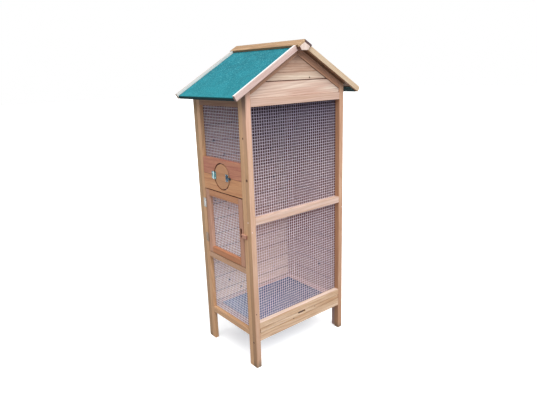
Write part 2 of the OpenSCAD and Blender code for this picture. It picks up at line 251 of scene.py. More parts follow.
def trim(piece: Object, kind: str, **settings: object) -> Object:
    """Puts one modifier on a piece and applies it.

    Args:
        piece: The piece.
        kind: The modifier's type.
        settings: The modifier's settings by name.

    Returns:
        The piece.
    """
    modifier = pick_up(piece).modifiers.new(kind.title(), kind)
    for name, value in settings.items():
        setattr(modifier, name, value)
    bpy.ops.object.modifier_apply(modifier=modifier.name)
    return piece


def ease(piece: Object, radius: float = ARRIS, segments: int = 2) -> Object:
    """Rounds a piece's sharp edges by a radius in millimetres, and returns the piece."""
    sharp = math.radians(28)
    return trim(piece, "BEVEL", width=radius * MM, segments=segments, limit_method="ANGLE", angle_limit=sharp)


def cut_out(piece: Object, *cutters: Object) -> Object:
    """Takes shapes out of a piece.

    Args:
        piece: The piece to cut.
        cutters: Closed shapes, which are used up.

    Returns:
        The piece.
    """
    for cutter in cutters:
        trim(piece, "BOOLEAN", object=cutter, operation="DIFFERENCE", solver="EXACT")
        bpy.data.objects.remove(cutter)
    return piece


def put_together(name: str, parts: Iterable[Object]) -> Object:
    """Joins parts into one piece.

    Args:
        name: The piece's name.
        parts: The parts.

    Returns:
        The piece.
    """
    piece = pick_up(*parts)
    if len(bpy.context.selected_objects) > 1:
        bpy.ops.object.join()
    piece.name = piece.data.name = name
    return piece


def smooth(piece: Object, angle: float = 40.0) -> Object:
    """Shades a round piece smooth.

    Args:
        piece: The piece.
        angle: Edges sharper than this many degrees stay sharp.

    Returns:
        The piece.
    """
    pick_up(piece)
    bpy.ops.object.shade_smooth_by_angle(angle=math.radians(angle))
    return piece


def twin(piece: Object, shift: Sequence[float]) -> Object:
    """Copies a piece with its own mesh.

    Args:
        piece: The piece to copy.
        shift: How far the copy is moved, in millimetres.

    Returns:
        The copy.
    """
    copy = piece.copy()
    copy.data = piece.data.copy()
    copy.data.transform(Matrix.Translation(Vector(shift) * MM))
    bpy.context.scene.collection.objects.link(copy)
    return copy


def from_cad(name: str, node: str) -> Object:
    """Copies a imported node's mesh and merges its loose triangles into closed faces.

    Args:
        name: The copy's name.
        node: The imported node.

    Returns:
        The copy.
    """
    piece = bpy.data.objects.new(name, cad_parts[node].data.copy())
    bpy.context.scene.collection.objects.link(piece)
    piece.data.materials.clear()
    with opened(piece):
        bpy.ops.mesh.remove_doubles(threshold=WELD)
        bpy.ops.mesh.dissolve_limited(angle_limit=math.radians(1))
    return piece


def write(piece: Object, name: str, domain: str, values: list[float], kind: str = "FLOAT") -> None:
    """Writes an attribute into a piece's mesh, with values for each of its points or faces."""
    attribute = piece.data.attributes.new(name, kind, domain)
    attribute.data.foreach_set("value" if kind == "FLOAT" else "vector", values)


def mark_grain(piece: Object, grain: Grain, seed: str) -> Object:
    """Writes into a bar's mesh where its wood lay in the log.

    The "log" attribute is each point's place from the pith: along it, then across it twice. The
    "stock" attribute is the bar's own tone, and "end_grain" says how squarely a face is sawn.

    Args:
        piece: The bar.
        grain: Which way its fibres run.
        seed: Makes the bar's own pattern, the same in each run.

    Returns:
        The bar.
    """
    dice = random.Random(seed)
    along = Vector(grain.value)
    across = Vector((1.0, 0.0, 0.0) if grain is Grain.ALONG_SIDE else (0.0, 1.0, 0.0))
    through = along.cross(across)
    points = piece.data.vertices
    middle = sum((v.co for v in points), Vector()) / len(points)
    turn, reach = dice.uniform(0, 2 * math.pi), dice.uniform(*PITH) * MM
    pith = Vector((math.cos(turn), math.sin(turn))) * reach
    lean = Vector((dice.uniform(-LEAN, LEAN), dice.uniform(-LEAN, LEAN)))
    start = dice.uniform(0, LOG_RUN)
    tone = dice.random()
    places: list[float] = []
    for off in (vertex.co - middle for vertex in points):
        run = off.dot(along)
        places += [start + run, off.dot(across) + pith.x + lean.x * run, off.dot(through) + pith.y + lean.y * run]
    write(piece, "log", "POINT", places, "FLOAT_VECTOR")
    write(piece, "stock", "POINT", [tone] * len(points))
    write(piece, "end_grain", "FACE", [abs(face.normal.dot(along)) for face in piece.data.polygons])
    return piece


def mark_joints(piece: Object, *levels: float) -> Object:
    """Marks in a "seam" attribute the edges that meet the next board, where dirt gathers.

    Args:
        piece: The board.
        levels: Heights of its joints, in millimetres.

    Returns:
        The board.
    """
    seams = [
        float(abs(face.normal.z) > 0.2 and any(abs(face.center.z / MM - level) < CLOSE for level in levels))
        for face in piece.data.polygons
    ]
    write(piece, "seam", "FACE", seams)
    return piece


def bar(name: str, low: Sequence[float], high: Sequence[float], grain: Grain) -> Object:
    """Makes a planed bar with eased edges between two corners in millimetres, and returns it."""
    return mark_grain(ease(block(name, low, high)), grain, name)


def corners(node: str) -> tuple[Vector, Vector]:
    """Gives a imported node's lowest and highest corner in millimetres."""
    low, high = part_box(node)
    return low / MM, high / MM


# ---- Finishes ----


def linear(shade: str) -> tuple[float, float, float, float]:
    """Turns an sRGB hex colour, such as "#C08A5A", into the linear colour of a socket."""
    parts = (int(shade[i : i + 2], 16) / 255 for i in (1, 3, 5))
    return *(c / 12.92 if c <= 0.04045 else ((c + 0.055) / 1.055) ** 2.4 for c in parts), 1.0


def add(tree: Tree, kind: str, sockets: dict[str | int, object] | None = None, **settings: object) -> bpy.types.Node:
    """Adds a shader node with its settings, its values and its links.

    Args:
        tree: The material's node tree.
        kind: The node's type without its "ShaderNode".
        sockets: Inputs by name or place, each a value or the output that feeds it.
        settings: The node's own settings.

    Returns:
        The node.
    """
    node = tree.nodes.new("ShaderNode" + kind)
    for name, value in settings.items():
        setattr(node, name, value)
    for key, value in (sockets or {}).items():
        if isinstance(value, Socket):
            tree.links.new(value, node.inputs[key])
        else:
            node.inputs[key].default_value = value
    return node


def maths(tree: Tree, operation: str, *values: object) -> Socket:
    """Works one sum out of values or outputs, and returns its output."""
    return add(tree, "Math", dict(enumerate(values)), operation=operation).outputs[0]


def span(tree: Tree, value: object, low: float, high: float, first: float = 0.0, last: float = 1.0) -> Socket:
    """Stretches what lies between low and high to run from first to last, and returns the output."""
    return add(tree, "MapRange", {0: value, 1: low, 2: high, 3: first, 4: last}).outputs[0]


def split(tree: Tree, vector: Socket) -> bpy.types.NodeOutputs:
    """Takes a vector apart, and returns its X, Y and Z outputs."""
    return add(tree, "SeparateXYZ", {0: vector}).outputs


def streaks(
    tree: Tree, log: Socket, stretch: Point, detail: float, shift: Point = (0.0, 0.0, 0.0)
) -> bpy.types.NodeOutputs:
    """Lays out noise along the fibres, and returns its outputs."""
    place = add(tree, "Mapping", {0: log, "Location": shift, "Scale": stretch}).outputs[0]
    return add(tree, "TexNoise", {"Vector": place, "Scale": 1.0, "Detail": detail}).outputs


def coats(tree: Tree, tone: object, layers: Iterable[tuple[Socket, str]]) -> Socket:
    """Lays colours over each other.

    Args:
        tree: The material's node tree.
        tone: The lowest colour, as a value or an output.
        layers: How much of each further colour shows, and the colour in hex.

    Returns:
        The mixed colour's output.
    """
    for share, shade in layers:
        sockets = {SHARE: share, UNDER: tone, OVER: linear(shade)}
        tone = add(tree, "Mix", sockets, data_type="RGBA").outputs[MIXED]
    return tone


def blank(name: str, **values: object) -> tuple[bpy.types.Material, Tree, bpy.types.Node]:
    """Starts a material.

    Args:
        name: The material's name.
        values: Numbers that are the same all over, by the shader socket's name.

    Returns:
        The material, its node tree and its shader node.
    """
    material = bpy.data.materials.new(name)
    material.use_nodes = True
    shader = material.node_tree.nodes["Principled BSDF"]
    for key, value in values.items():
        shader.inputs[key.replace("_", " ")].default_value = value
    return material, material.node_tree, shader


class Knot(NamedTuple):
    """A knot in its true place."""

    x: float
    y: float
    z: float
    radius: float


@dataclass(frozen=True)
class Fade:
    """A tone that is full at one height and gone at another, and may come in along X, in millimetres."""

    shade: str
    share: float
    full: float
    gone: float
    across: tuple[float, float] | None = None

    def over(self, tree: Tree, place: bpy.types.NodeOutputs, height: Socket | None = None) -> tuple[Socket, str]:
        """Gives the tone as a layer.

        Args:
            tree: The material's node tree.
            place: Outputs of the place's X, Y and Z.
            height: The height, where it isn't the place's own.

        Returns:
            How much of the tone shows, and the tone.
        """
        share = span(tree, height or place["Z"], self.full * MM, self.gone * MM, self.share, 0.0)
        if self.across:
            share = maths(tree, "MULTIPLY", share, span(tree, place["X"], *(x * MM for x in self.across)))
        return share, self.shade


@dataclass(frozen=True)
class StainedFir:
    """Planed fir under a thin brown stain: a soft satin with rings and streaks along the bar."""

    name: str = "fir"
    pale: str = ""
    stain: str = ""
    late_wood: str = ""
    # Tone of the faces that look sideways: part coat, part painted shade
    flank: str | None = None
    sawn_end: str = "#8E6A4E"
    flank_share: float = 0.8
    ring: float = 5.0
    ring_share: float = 0.35
    streak_share: float = 0.6
    vein_share: float = 0.35
    own_share: float = 0.45
    seam: str = "#4A3226"
    seam_share: float = 0.0
    # Painted shade on the faces that look down
    under: str = "#7A4A34"
    under_share: float = 0.35
    knot: str = "#4A2C1E"
    knot_every: float = 210.0
    knot_radius: float = 6.0
    knot_odds: float = 0.0
    fades: tuple[Fade, ...] = ()
    knots: tuple[Knot, ...] = ()

    def coat(self, name: str, tones: str, **changes: object) -> "StainedFir":
        """Gives the same wood other tones: pale, stain and late wood, and then its flank and sawn end."""
        keys = ("pale", "stain", "late_wood", "flank", "sawn_end")
        return replace(self, name=name, **dict(zip(keys, tones.split())), **changes)

    def knotted(self, tree: Tree, log: Socket, spot: Socket) -> tuple[Socket, Socket]:
        """Scatters knots and sets the true ones.

        Args:
            tree: The material's node tree.
            log: Place from the pith.
            spot: Place in the part's frame.

        Returns:
            How much of the knots' tone shows, and how far the rings swell round them.
        """
        # Scattered knots run straight out from the pith, so they are laid out by angle round it
        parts = split(tree, log)
        angle = maths(tree, "MULTIPLY", maths(tree, "ARCTAN2", parts["Z"], parts["Y"]), 0.05)
        sheet = add(tree, "CombineXYZ", {0: parts["X"], 1: angle}).outputs[0]
        every, edge = self.knot_every * MM, self.knot_radius * MM
        cells = add(tree, "TexVoronoi", {"Vector": sheet, "Scale": 1 / every}, voronoi_dimensions="2D").outputs
        chance = add(tree, "SeparateColor", {0: cells["Color"]}).outputs[0]
        taken = maths(tree, "LESS_THAN", chance, self.knot_odds)
        near = maths(tree, "MULTIPLY", cells["Distance"], every)
        knots = maths(tree, "MULTIPLY", span(tree, near, edge * 0.55, edge * 1.25, 1.0, 0.0), taken)
        bulge = maths(tree, "MULTIPLY_ADD", span(tree, near, edge, edge * 5, 0.1, 0.0), taken, 1.0)
        for knot in self.knots:
            at = tuple(c * MM for c in knot[:3])
            off = add(tree, "VectorMath", {0: spot, 1: at}, operation="DISTANCE").outputs["Value"]
            reach = knot.radius * MM
            knots = maths(tree, "MAXIMUM", knots, span(tree, off, reach * 0.6, reach * 1.3, 1.0, 0.0))
        return knots, bulge

    def rings(self, tree: Tree, log: Socket, bulge: Socket) -> Socket:
        """Draws growth rings, bent by slow drift and round the knots.

        Args:
            tree: The material's node tree.
            log: Place from the pith.
            bulge: How far the rings swell.

        Returns:
            Where the late wood is.
        """
        drift = streaks(tree, log, (2.2, 14.0, 14.0), 2.0)["Color"]
        moved = add(tree, "VectorMath", {0: drift, 1: (0.02,) * 3, 2: log}, operation="MULTIPLY_ADD").outputs[0]
        bent = add(tree, "VectorMath", {0: moved, "Scale": bulge}, operation="SCALE").outputs[0]
        # A ring texture repeats every pi / 10 of its own length
        waves = {"Vector": bent, "Scale": math.pi / 10 / (self.ring * MM)}
        kind = {"wave_type": "RINGS", "rings_direction": "X", "wave_profile": "SAW"}
        late = add(tree, "ValToRGB", {0: add(tree, "TexWave", waves, **kind).outputs["Fac"]})
        ramp = late.color_ramp.elements
        ramp.new(0.98)
        for stop, place, shade in zip(ramp, (0.35, 0.88, 0.98), (0.0, 1.0, 0.0)):
            stop.position = place
            stop.color = (shade, shade, shade, 1.0)
        return late.outputs[0]

    def make(self) -> bpy.types.Material:
        """Builds the material.

        Returns:
            The material.
        """
        material, tree, shader = blank(self.name, Roughness=0.6, Specular_IOR_Level=0.3)
        log = add(tree, "Attribute", attribute_name="log").outputs["Vector"]
        stock, sawn, joint = (
            add(tree, "Attribute", attribute_name=name).outputs["Fac"] for name in ("stock", "end_grain", "seam")
        )
        spot = add(tree, "TexCoord").outputs
        knots, bulge = self.knotted(tree, log, spot["Object"])
        late = self.rings(tree, log, bulge)

        # Fibres about 1 mm apart, and broad streaks of about 15 mm that still show from afar
        fibre = streaks(tree, log, (9.0, 900.0, 900.0), 1.0)["Fac"]
        broad = span(tree, streaks(tree, log, (3.5, 65.0, 65.0), 3.0)["Fac"], 0.36, 0.64)
        # Darker veins of about 8 mm, where the saw ran along the late wood
        vein = streaks(tree, log, (2.5, 120.0, 120.0), 1.0, (3.0, 1.0, 2.0))["Fac"]

        # How far a face looks sideways or down, and how squarely it is sawn
        facing = split(tree, spot["Normal"])
        sideways = span(tree, maths(tree, "ABSOLUTE", facing["X"]), 0.4, 0.8, last=self.flank_share)
        flank = (sideways, self.flank or self.stain)
        streak = (maths(tree, "MULTIPLY", broad, self.streak_share), self.stain)
        layers = [
            # The flanks' tone, part second coat and part painted shade, goes over the streaks and hides half of them
            *((streak, flank) if self.flank else (flank, streak)),
            (maths(tree, "MULTIPLY", stock, self.own_share), self.stain),
            (maths(tree, "MULTIPLY", late, self.ring_share), self.late_wood),
            (span(tree, fibre, 0.5, 0.8, last=0.4), self.late_wood),
            (span(tree, sawn, 0.75, 0.95, last=0.85), self.sawn_end),
            # Faces that look down get a painted shade
            (span(tree, facing["Z"], -0.3, -0.8, last=self.under_share), self.under),
            (span(tree, vein, 0.5, 0.68, last=self.vein_share), self.late_wood),
        ]
        place = split(tree, spot["Object"])
        ragged = maths(tree, "MULTIPLY_ADD", broad, 0.02, place["Z"])
        layers += [fade.over(tree, place, ragged) for fade in self.fades]
        layers += [(maths(tree, "MULTIPLY", joint, self.seam_share), self.seam), (knots, self.knot)]
        relief = {"Height": maths(tree, "MULTIPLY_ADD", late, 0.4, fibre), "Strength": 0.35, "Distance": 0.0004}
        tree.links.new(coats(tree, linear(self.pale), layers), shader.inputs["Base Color"])
        tree.links.new(add(tree, "Bump", relief).outputs[0], shader.inputs["Normal"])
        tree.links.new(span(tree, fibre, 0.0, 1.0, 0.5, 0.72), shader.inputs["Roughness"])
        return material


@dataclass(frozen=True)
class MineralFelt:
    """Bitumen roofing felt faced with green stone grit: matt, speckled, never even."""

    half_run: float
    name: str = "mineral_felt_gritted"
    deep: str = "#105560"
    green: str = "#1D7682"
    bright: str = "#60AFB4"
    fold: str = "#044A4C"
    # Painted shade on the faces that look down
    painted_underside_shade: str = "#0C2426"
    # Real grit is about 1.5 mm; it is drawn in clusters nearly twice as wide so that it still shows
    grit: float = 2.8
    # Lighter towards the eave
    lighter_at_eave: Fade = Fade("#34A6AE", 0.22, 1390.0, 1530.0)

    def make(self) -> bpy.types.Material:
        """Builds the material.

        Returns:
            The material.
        """
        material, tree, shader = blank(self.name, Roughness=0.9, Specular_IOR_Level=0.2)
        spot, normal = (add(tree, "TexCoord").outputs[name] for name in ("Object", "Normal"))
        stones = add(tree, "TexVoronoi", {"Vector": spot, "Scale": 1 / (self.grit * MM)}).outputs
        stone = add(tree, "SeparateColor", {0: stones["Color"]}).outputs
        patch = add(tree, "TexNoise", {"Vector": spot, "Scale": 16.0, "Detail": 4.0}).outputs["Fac"]
        facing, place = split(tree, normal), split(tree, spot)
        end = self.half_run * MM
        layers = (
            (span(tree, patch, 0.35, 0.65, last=0.5), self.deep),
            (span(tree, stone[1], 0.6, 1.0, last=0.7), self.deep),
            (span(tree, stone[0], 0.8, 1.0, last=0.65), self.bright),
            self.lighter_at_eave.over(tree, place),
            # Where the sheet is folded down over the eave it is darker: sparse grit, and painted shade
            (span(tree, maths(tree, "ABSOLUTE", facing["X"]), 0.55, 0.8, last=0.85), self.fold),
            # It is darker along the cut edges, next to the bargeboards
            (span(tree, maths(tree, "ABSOLUTE", place["Y"]), end - 0.006, end - 0.003, last=0.85), self.fold),
            # Faces that look down get a near-black painted shade
            (span(tree, facing["Z"], 0.0, -0.5, last=0.95), self.painted_underside_shade),
        )
        relief = {"Height": stones["Distance"], "Strength": 0.5, "Distance": 0.0008}
        tree.links.new(coats(tree, linear(self.green), layers), shader.inputs["Base Color"])
        tree.links.new(add(tree, "Bump", relief).outputs[0], shader.inputs["Normal"])
        return material


@dataclass(frozen=True)
class PlatedSteel:
    """Steel under a zinc or dark plating: bright to dull in cloudy patches, spangled if dipped."""

    name: str
    light: str
    dull: str
    roughness: float
    metallic: float
    spangle: float
    # A white band round the pin: partly rubbed zinc, partly a painted highlight
    rubbed: str | None = None
    pin: tuple[float, float] = (0.0, 0.0)
    shade: Fade | None = None

    def make(self) -> bpy.types.Material:
        """Builds the material.

        Returns:
            The material.
        """
        material, tree, shader = blank(self.name, Metallic=self.metallic)
        spot = add(tree, "TexCoord").outputs["Object"]
        place = split(tree, spot)
        # The zinc's crystals, each with its own brightness
        flakes = add(tree, "TexVoronoi", {"Vector": spot, "Scale": 1 / (self.spangle * MM)}).outputs["Color"]
        flake = add(tree, "SeparateColor", {0: flakes}).outputs[0]
        cloud = add(tree, "TexNoise", {"Vector": spot, "Scale": 22.0, "Detail": 3.0}).outputs["Fac"]
        layers = [(span(tree, maths(tree, "MULTIPLY", flake, cloud), 0.05, 0.5), self.dull)]
        if self.rubbed:
            # The knuckles are brighter round the pin, which stands upright: partly rubbed zinc, partly a painted
            # highlight
            middle, half = (c * MM for c in self.pin)
            off = maths(tree, "ABSOLUTE", maths(tree, "SUBTRACT", place["Y"], middle))
            layers.append((span(tree, off, half * 0.7, half, 0.95, 0.0), self.rubbed))
        if self.shade:
            layers.append(self.shade.over(tree, place))
        rough = span(tree, cloud, 0.0, 1.0, self.roughness - 0.08, self.roughness + 0.12)
        tree.links.new(coats(tree, linear(self.light), layers), shader.inputs["Base Color"])
        tree.links.new(rough, shader.inputs["Roughness"])
        return material


Finish = StainedFir | MineralFelt | PlatedSteel

# The bars darken towards the foot: browner over the lowest third, and darkest in the last few centimetres
FEET = (Fade("#7E5A3E", 0.42, 60, 950), Fade("#4E4A3A", 0.7, 4, 50))
# The tops of the bars get a painted light against the roof's shade, rosier on the posts
PAINTED_TOP_LIGHT = Fade("#F6CDA8", 0.3, 1380, 1050)
PAINTED_ROSY_TOP_LIGHT = Fade("#E8B8A6", 0.5, 1400, 1100)
# The left flank darkens towards its foot, and gets a painted shadow under the bargeboard
DARK_FOOT_AND_PAINTED_SHADE = (Fade("#6A4A2E", 0.35, 60, 700, (-318, -325)), Fade("#33281E", 0.6, 1400, 1320, (-316, -325)))
# Painted light and shade on the boards: lighter low down, darker under the roof, and on the right half darker still,
# near black towards the top, in the shade of the closed side
PAINTED_WALL_LIGHT_AND_SHADE = (
    Fade("#DCC6B4", 0.5, 250, 620),
    Fade("#3E3240", 0.5, 1380, 1000),
    Fade("#38242E", 0.45, 700, 300, (-50, 50)),
    Fade("#120C20", 0.9, 1400, 700, (-50, 50)),
)

# Fir takes stain unevenly: pale between the rings, browner on the rings and the sawn ends
FIR = StainedFir()
# Posts: the fronts have faded pinkish, and the flanks are a darker honey, part second coat and part painted shade
FRONT_FIR = FIR.coat(
    "fir_front_stained", "#DBBEAA #C79E81 #AA8163 #C6995A", flank_share=0.75, fades=(*FEET, PAINTED_ROSY_TOP_LIGHT, *DARK_FOOT_AND_PAINTED_SHADE),
    knots=(Knot(-315, -226, 314, 3.5), Knot(-325, -205, 145, 5.5), Knot(-325, -210, 1019, 7)),
)
# Rails of the front: the same coat, gone rosier under the sun
RAIL_FIR = FRONT_FIR.coat("fir_front_rails_stained", "#D6BEB2 #C29E88 #A68169", fades=(), knots=())
# The bottom rail's top edge: a pale painted highlight
LIT_TOP_FIR = RAIL_FIR.coat("fir_rail_top_rubbed", "#DCCBC1 #C7AA94 #AA8B73")
# Near the ground the same bars have lost their gloss and gone sandy, in clear lengthwise streaks
LOW_FIR = FRONT_FIR.coat(
    "fir_low_rails_stained", "#D6BFA6 #AE8763 #8C6647", streak_share=0.8, under_share=0.7, fades=(),
    knots=(Knot(-60, -226, 197, 4), Knot(100, -226, 214, 3)),
)
# The right post stands in its own shade: the same stain, a tone browner, with a rosy inner flank
RIGHT_FIR = FRONT_FIR.coat("fir_right_post_stained", "#C9A68C #B38668 #996D4F #D2986F", fades=FEET, knots=())
# The back posts: a greyer, darker tone, a painted shade as they stand at the back
BACK_FIR = FRONT_FIR.coat("fir_back_posts_weathered", "#B49A80 #96795A #7A6048 #D8AF80", fades=FEET, knots=())
# The raking bars under the roof boards: rosy, with a dark painted shade on their underside
RAKE_FIR = RAIL_FIR.coat("fir_rakes_stained", "#CDA389 #B68567 #986B51", under="#5A3626", under_share=0.9)
# Stiles and rails of the side: a warmer, more even coat with pronounced rings
SIDE_FIR = FIR.coat(
    "fir_side_stained", "#E5BC97 #C6976A #9F724D #DEB48A", flank_share=0.7, under_share=0.6,
    fades=(Fade("#7E5A3E", 0.2, 60, 950), PAINTED_TOP_LIGHT), knots=(Knot(-325, -194, 1218, 5),),
)
# The side's middle rail is a darker, pinker length
MID_RAIL_FIR = SIDE_FIR.coat("fir_side_mid_rail_stained", "#D7B094 #B98C68 #946A4B #D0A788")
# Boards over the side openings: a dark red-brown painted shade, as they lie under the eave
SIDE_TOP_FIR = SIDE_FIR.coat("fir_side_top_stained", "#E5BC97 #7F5A4C #9F724D #947162", fades=(), knots=())
# Faces inside the slot, on the door's head and under the hatch board: a dark painted shade, as in the gaps
GAP_SHADE_FIR = FIR.coat(
    "fir_sawn_edges_soaked", "#6C3A26 #52261C #3C1C14 #5C3020 #44221A", under="#2C160F", under_share=0.7
)
# The bored edge of the hatch hole: a lighter, mid brown painted shade in the gap round the disc
BORE_SHADE_FIR = GAP_SHADE_FIR.coat("fir_bored_edge_stained", "#BD7F5B #A06447 #3C1C14 #A96D48")
# Wall boards: a thin rosy stain with a lilac cast, dirt in the joints, dark knots, and painted light and shade
WALL_FIR = FIR.coat(
    "fir_wall_boards_stained", "#CCAAA3 #B08779 #896055", sawn_end="#7E5A48", ring_share=0.3, seam="#38222A",
    seam_share=0.7, fades=PAINTED_WALL_LIGHT_AND_SHADE, knot="#2E2030", knot_every=260.0, knot_radius=7.0, knot_odds=0.25,
    knots=(
        Knot(-222, 226, 1160, 9), Knot(-156, 226, 1074, 8), Knot(-235, 226, 822, 6), Knot(-147, 226, 758, 6),
        Knot(-172, 226, 314, 8), Knot(-91, 226, 242, 8), Knot(179, 226, 1061, 9), Knot(184, 226, 995, 7),
        Knot(313, 137, 1180, 8), Knot(313, -49, 360, 10),
    ),
)
# The closed side: the same boards painted darker as shade, with painted light low down and a near-black painted
# shade under the roof
DIM_WALL_FIR = WALL_FIR.coat(
    "fir_closed_side_boards_stained", "#A88583 #926961 #714B44",
    fades=(Fade("#D3BBAD", 0.35, 250, 620), Fade("#110B1E", 0.9, 1400, 700)),
)
# Stiles seen only through the mesh share the painted light and shade of the closed side's boards
RIGHT_SIDE_FIR = replace(DIM_WALL_FIR, name="fir_right_stiles_stained", knots=(), knot_odds=0.0)
# The walls' outer faces have the full honey coat of the frame, with a few knots and dirt in the joints
OUTER_FIR = WALL_FIR.coat(
    "fir_outer_boards_stained", "#D6B692 #BC9066 #93694A #C09468", seam="#46301F", knot="#4A2C1E", fades=FEET,
    knots=(),
)
# The bars beside them: the same coat on clear wood
OUTER_BAR_FIR = replace(OUTER_FIR, name="fir_outer_bars_stained", knot_odds=0.0)
# Gable boards: wide boards with long pale flames between the rings, darker towards the apex in painted shade under
# the roof
GABLE_FIR = FIR.coat(
    "fir_gable_low_board", "#E8D6C4 #C7A290 #AA8170", ring=9.0, ring_share=0.45, streak_share=0.8,
    seam="#5A3628", seam_share=0.9,
)
# The middle gable board is sapwood: clear and biscuit-pale, with one small knot
GABLE_SAP_FIR = GABLE_FIR.coat("fir_gable_sapwood_board", "#E2D3BE #C7AC95", knots=(Knot(82, -221, 1480, 4.5),))
# The top gable board: a browner red, partly heartwood and partly painted shade under the roof
GABLE_TOP_FIR = GABLE_FIR.coat("fir_gable_top_board", "#D2B6A1 #B18A72 #8E6450")
# Rough-sawn boards under the felt: dull, and a dark olive that is painted shade under the eaves
SOFFIT_FIR = FIR.coat(
    "fir_roof_boards_rough", "#56452C #44351F #342716", sawn_end="#3C3022", ring_share=0.3, knot_odds=0.3
)
# The upper hatch board: a heavy red-brown stain in clear lengthwise streaks
HATCH_TOP_FIR = FIR.coat(
    "fir_hatch_upper_board", "#DDA67E #B87462 #93533F #BC8066 #7A4A32", flank_share=0.35, ring_share=0.4,
    streak_share=0.9, seam="#54281C", seam_share=0.7,
)
# The lower hatch board: the same coat on paler wood, so orange
HATCH_LOW_FIR = HATCH_TOP_FIR.coat("fir_hatch_lower_board", "#EABA88 #C98C62 #A5694A #D6A070")
# The hatch disc: a smoother cut that took an even tan coat
DISC_FIR = FIR.coat("fir_disc_turned", "#D2A17D #C28B63 #A5724F #C7946C", ring_share=0.25)
# Door stiles: rosy and rubbed by hands
DOOR_STILE_FIR = FIR.coat("fir_door_stiles_stained", "#D5AE98 #B88469 #93624E #C19175 #7A4A32", under_share=0.6)
# Door rails: the same stain on redder wood
DOOR_RAIL_FIR = DOOR_STILE_FIR.coat(
    "fir_door_rails_stained", "#D39772 #B87A54 #985D3E #C48E66", fades=(Fade("#995027", 0.3, 600, 850),)
)
# The turn button: close-grained beech with a soft sheen, and a painted shade on its underside
BUTTON_FIR = FIR.coat("beech_button_stained", "#D8A990 #BE8A73 #9A6854", sawn_end="#70402E", under_share=0.8)
# The left bargeboard: smoother and paler than the frame, with a dark sawn end, partly end grain and partly painted
# shade
PINK_TRIM = FIR.coat("fir_barge_left_pale", "#D4C1BA #C6A69D #AB8A7D #D4C3BC #4A3A30", ring_share=0.2)
# The right bargeboard: the same board, tanned by the sun, with a painted shade on its underside
TAN_TRIM = FIR.coat(
    "fir_barge_right_tan", "#D1BEA3 #BC9D7D #9D7B59 #C9B295 #8A7250", ring_share=0.3, under="#8A5F42",
    under_share=0.8, knots=(Knot(121, -258, 1579, 4),),
)
# The back bargeboards' upper edges: silvered by the weather, and painted lighter as faces lit from above
BACK_TRIM = FIR.coat("fir_back_barges_silvered", "#BDB8B4 #A39D99 #85807C #B9B4B0 #4A5250", ring_share=0.2)
# The front bargeboard's upper edge on the felt's side: a near-white painted highlight
HIGHLIGHT_TRIM = FIR.coat(
    "fir_barge_edges_bleached", "#EEF2F0 #DADFDC #BEC4C2 #F2F6F4 #8A8C88", ring_share=0.15, streak_share=0.4
)
# The back bargeboards' inner faces: a pale grey painted light
LIT_INNER_TRIM = HIGHLIGHT_TRIM.coat("fir_barge_inner_faces_bleached", "#CDCFCD #BCBEBB #A2A4A0")
# Ridge cap, left board: orange tan with brown streaks along it
CAP_TRIM = FIR.coat(
    "fir_ridge_cap_tan", "#BE9E7C #947351 #744F35 #A58B68 #B89A78", ring_share=0.45, streak_share=0.85
)
# Ridge cap, right board: the same, with a dark sawn end
CAP_END_TRIM = replace(CAP_TRIM, name="fir_ridge_cap_right", sawn_end="#3A2C3C")
# Apex blocks: fresh pale wood, with a brown painted shade on their sides
BLOCK_TRIM = FIR.coat(
    "fir_block_pale", "#E4D6CC #D6BEAF #BE9C8B #7C4E3C #DCC4B6", flank_share=0.9, ring_share=0.2
)
# Ledges for the tray: planed, hardly stained, pink
LEDGE_FIR = FIR.coat("fir_ledge_pale", "#BD9E9B #AC8680 #8A6A63", ring_share=0.25, knot_odds=0.3)
# The left ledge lies in the shade of the door side: a darker painted shade
DIM_LEDGE_FIR = LEDGE_FIR.coat("fir_ledge_dim", "#A6898D #907277 #765D5C")
# Dipped wire: a milky zinc skin, more chalk than mirror, with a painted shade towards the top under the roof
WIRE = PlatedSteel(
    "steel_wire_galvanised", "#F8EAF2", "#E2D2DC", 0.5, 0.2, 9.0, shade=Fade("#726E96", 0.75, 1400, 1020)
)
# The side panels' wires: blue-white, painted lighter than the front's, as level wires look under the sky
SIDE_WIRE = PlatedSteel("steel_wire_side_galvanised", "#FAFCFF", "#E8E8F8", 0.5, 0.1, 9.0)
# The door's wires lie in the hatch board's shade at the top
DOOR_WIRE = replace(SIDE_WIRE, name="steel_wire_door_galvanised", shade=Fade("#9C98A8", 0.6, 920, 720))
# The upright wires of the side's top panel: a dull painted shade, as they turn away from the sky
SHADED_WIRE = PlatedSteel("steel_wire_dulled", "#DAD2E0", "#C2B8C8", 0.6, 0.1, 9.0)
# Tray sheet: hot-dip zinc, a blue-grey bloom with coin-sized crystals, under a painted shade that deepens towards
# the right
TRAY_SHEET = PlatedSteel(
    "steel_sheet_hot_dip_zinc", "#7382A7", "#627196", 0.42, 0.3, 20.0,
    shade=Fade("#1E2B58", 0.6, 260, 1000, (-280, 200)),
)
# The tray's front wall, seen through the notch behind its wooden strip: a brown-black painted shade
TRAY_SHADE = PlatedSteel("steel_sheet_tarnished", "#4E3A36", "#35262A", 0.6, 0.2, 20.0)
# Hatch hinge: bright zinc with a blue-green passivation, and a white band round the pin, partly rubbed and partly a
# painted highlight
HINGE_ZINC = PlatedSteel("steel_hinge_bright_zinc", "#5E9294", "#33605E", 0.35, 0.6, 3.0, "#DDF6F6", (74.0, 3.0))
# Upper door hinge: zinc gone matt grey
DOOR_ZINC = PlatedSteel("steel_hinge_dull_zinc", "#C9CBC8", "#9A9C98", 0.45, 0.5, 3.0)
# Lower door hinge: splashed by rain and stained like the wood round it
DOOR_ZINC_LOW = PlatedSteel("steel_hinge_weathered_zinc", "#A08C78", "#84705C", 0.5, 0.35, 3.0)
# Latch: dark plating with a blue cast
DARK_STEEL = PlatedSteel("steel_latch_dark_plated", "#2E4E60", "#15222E", 0.35, 0.6, 3.0)
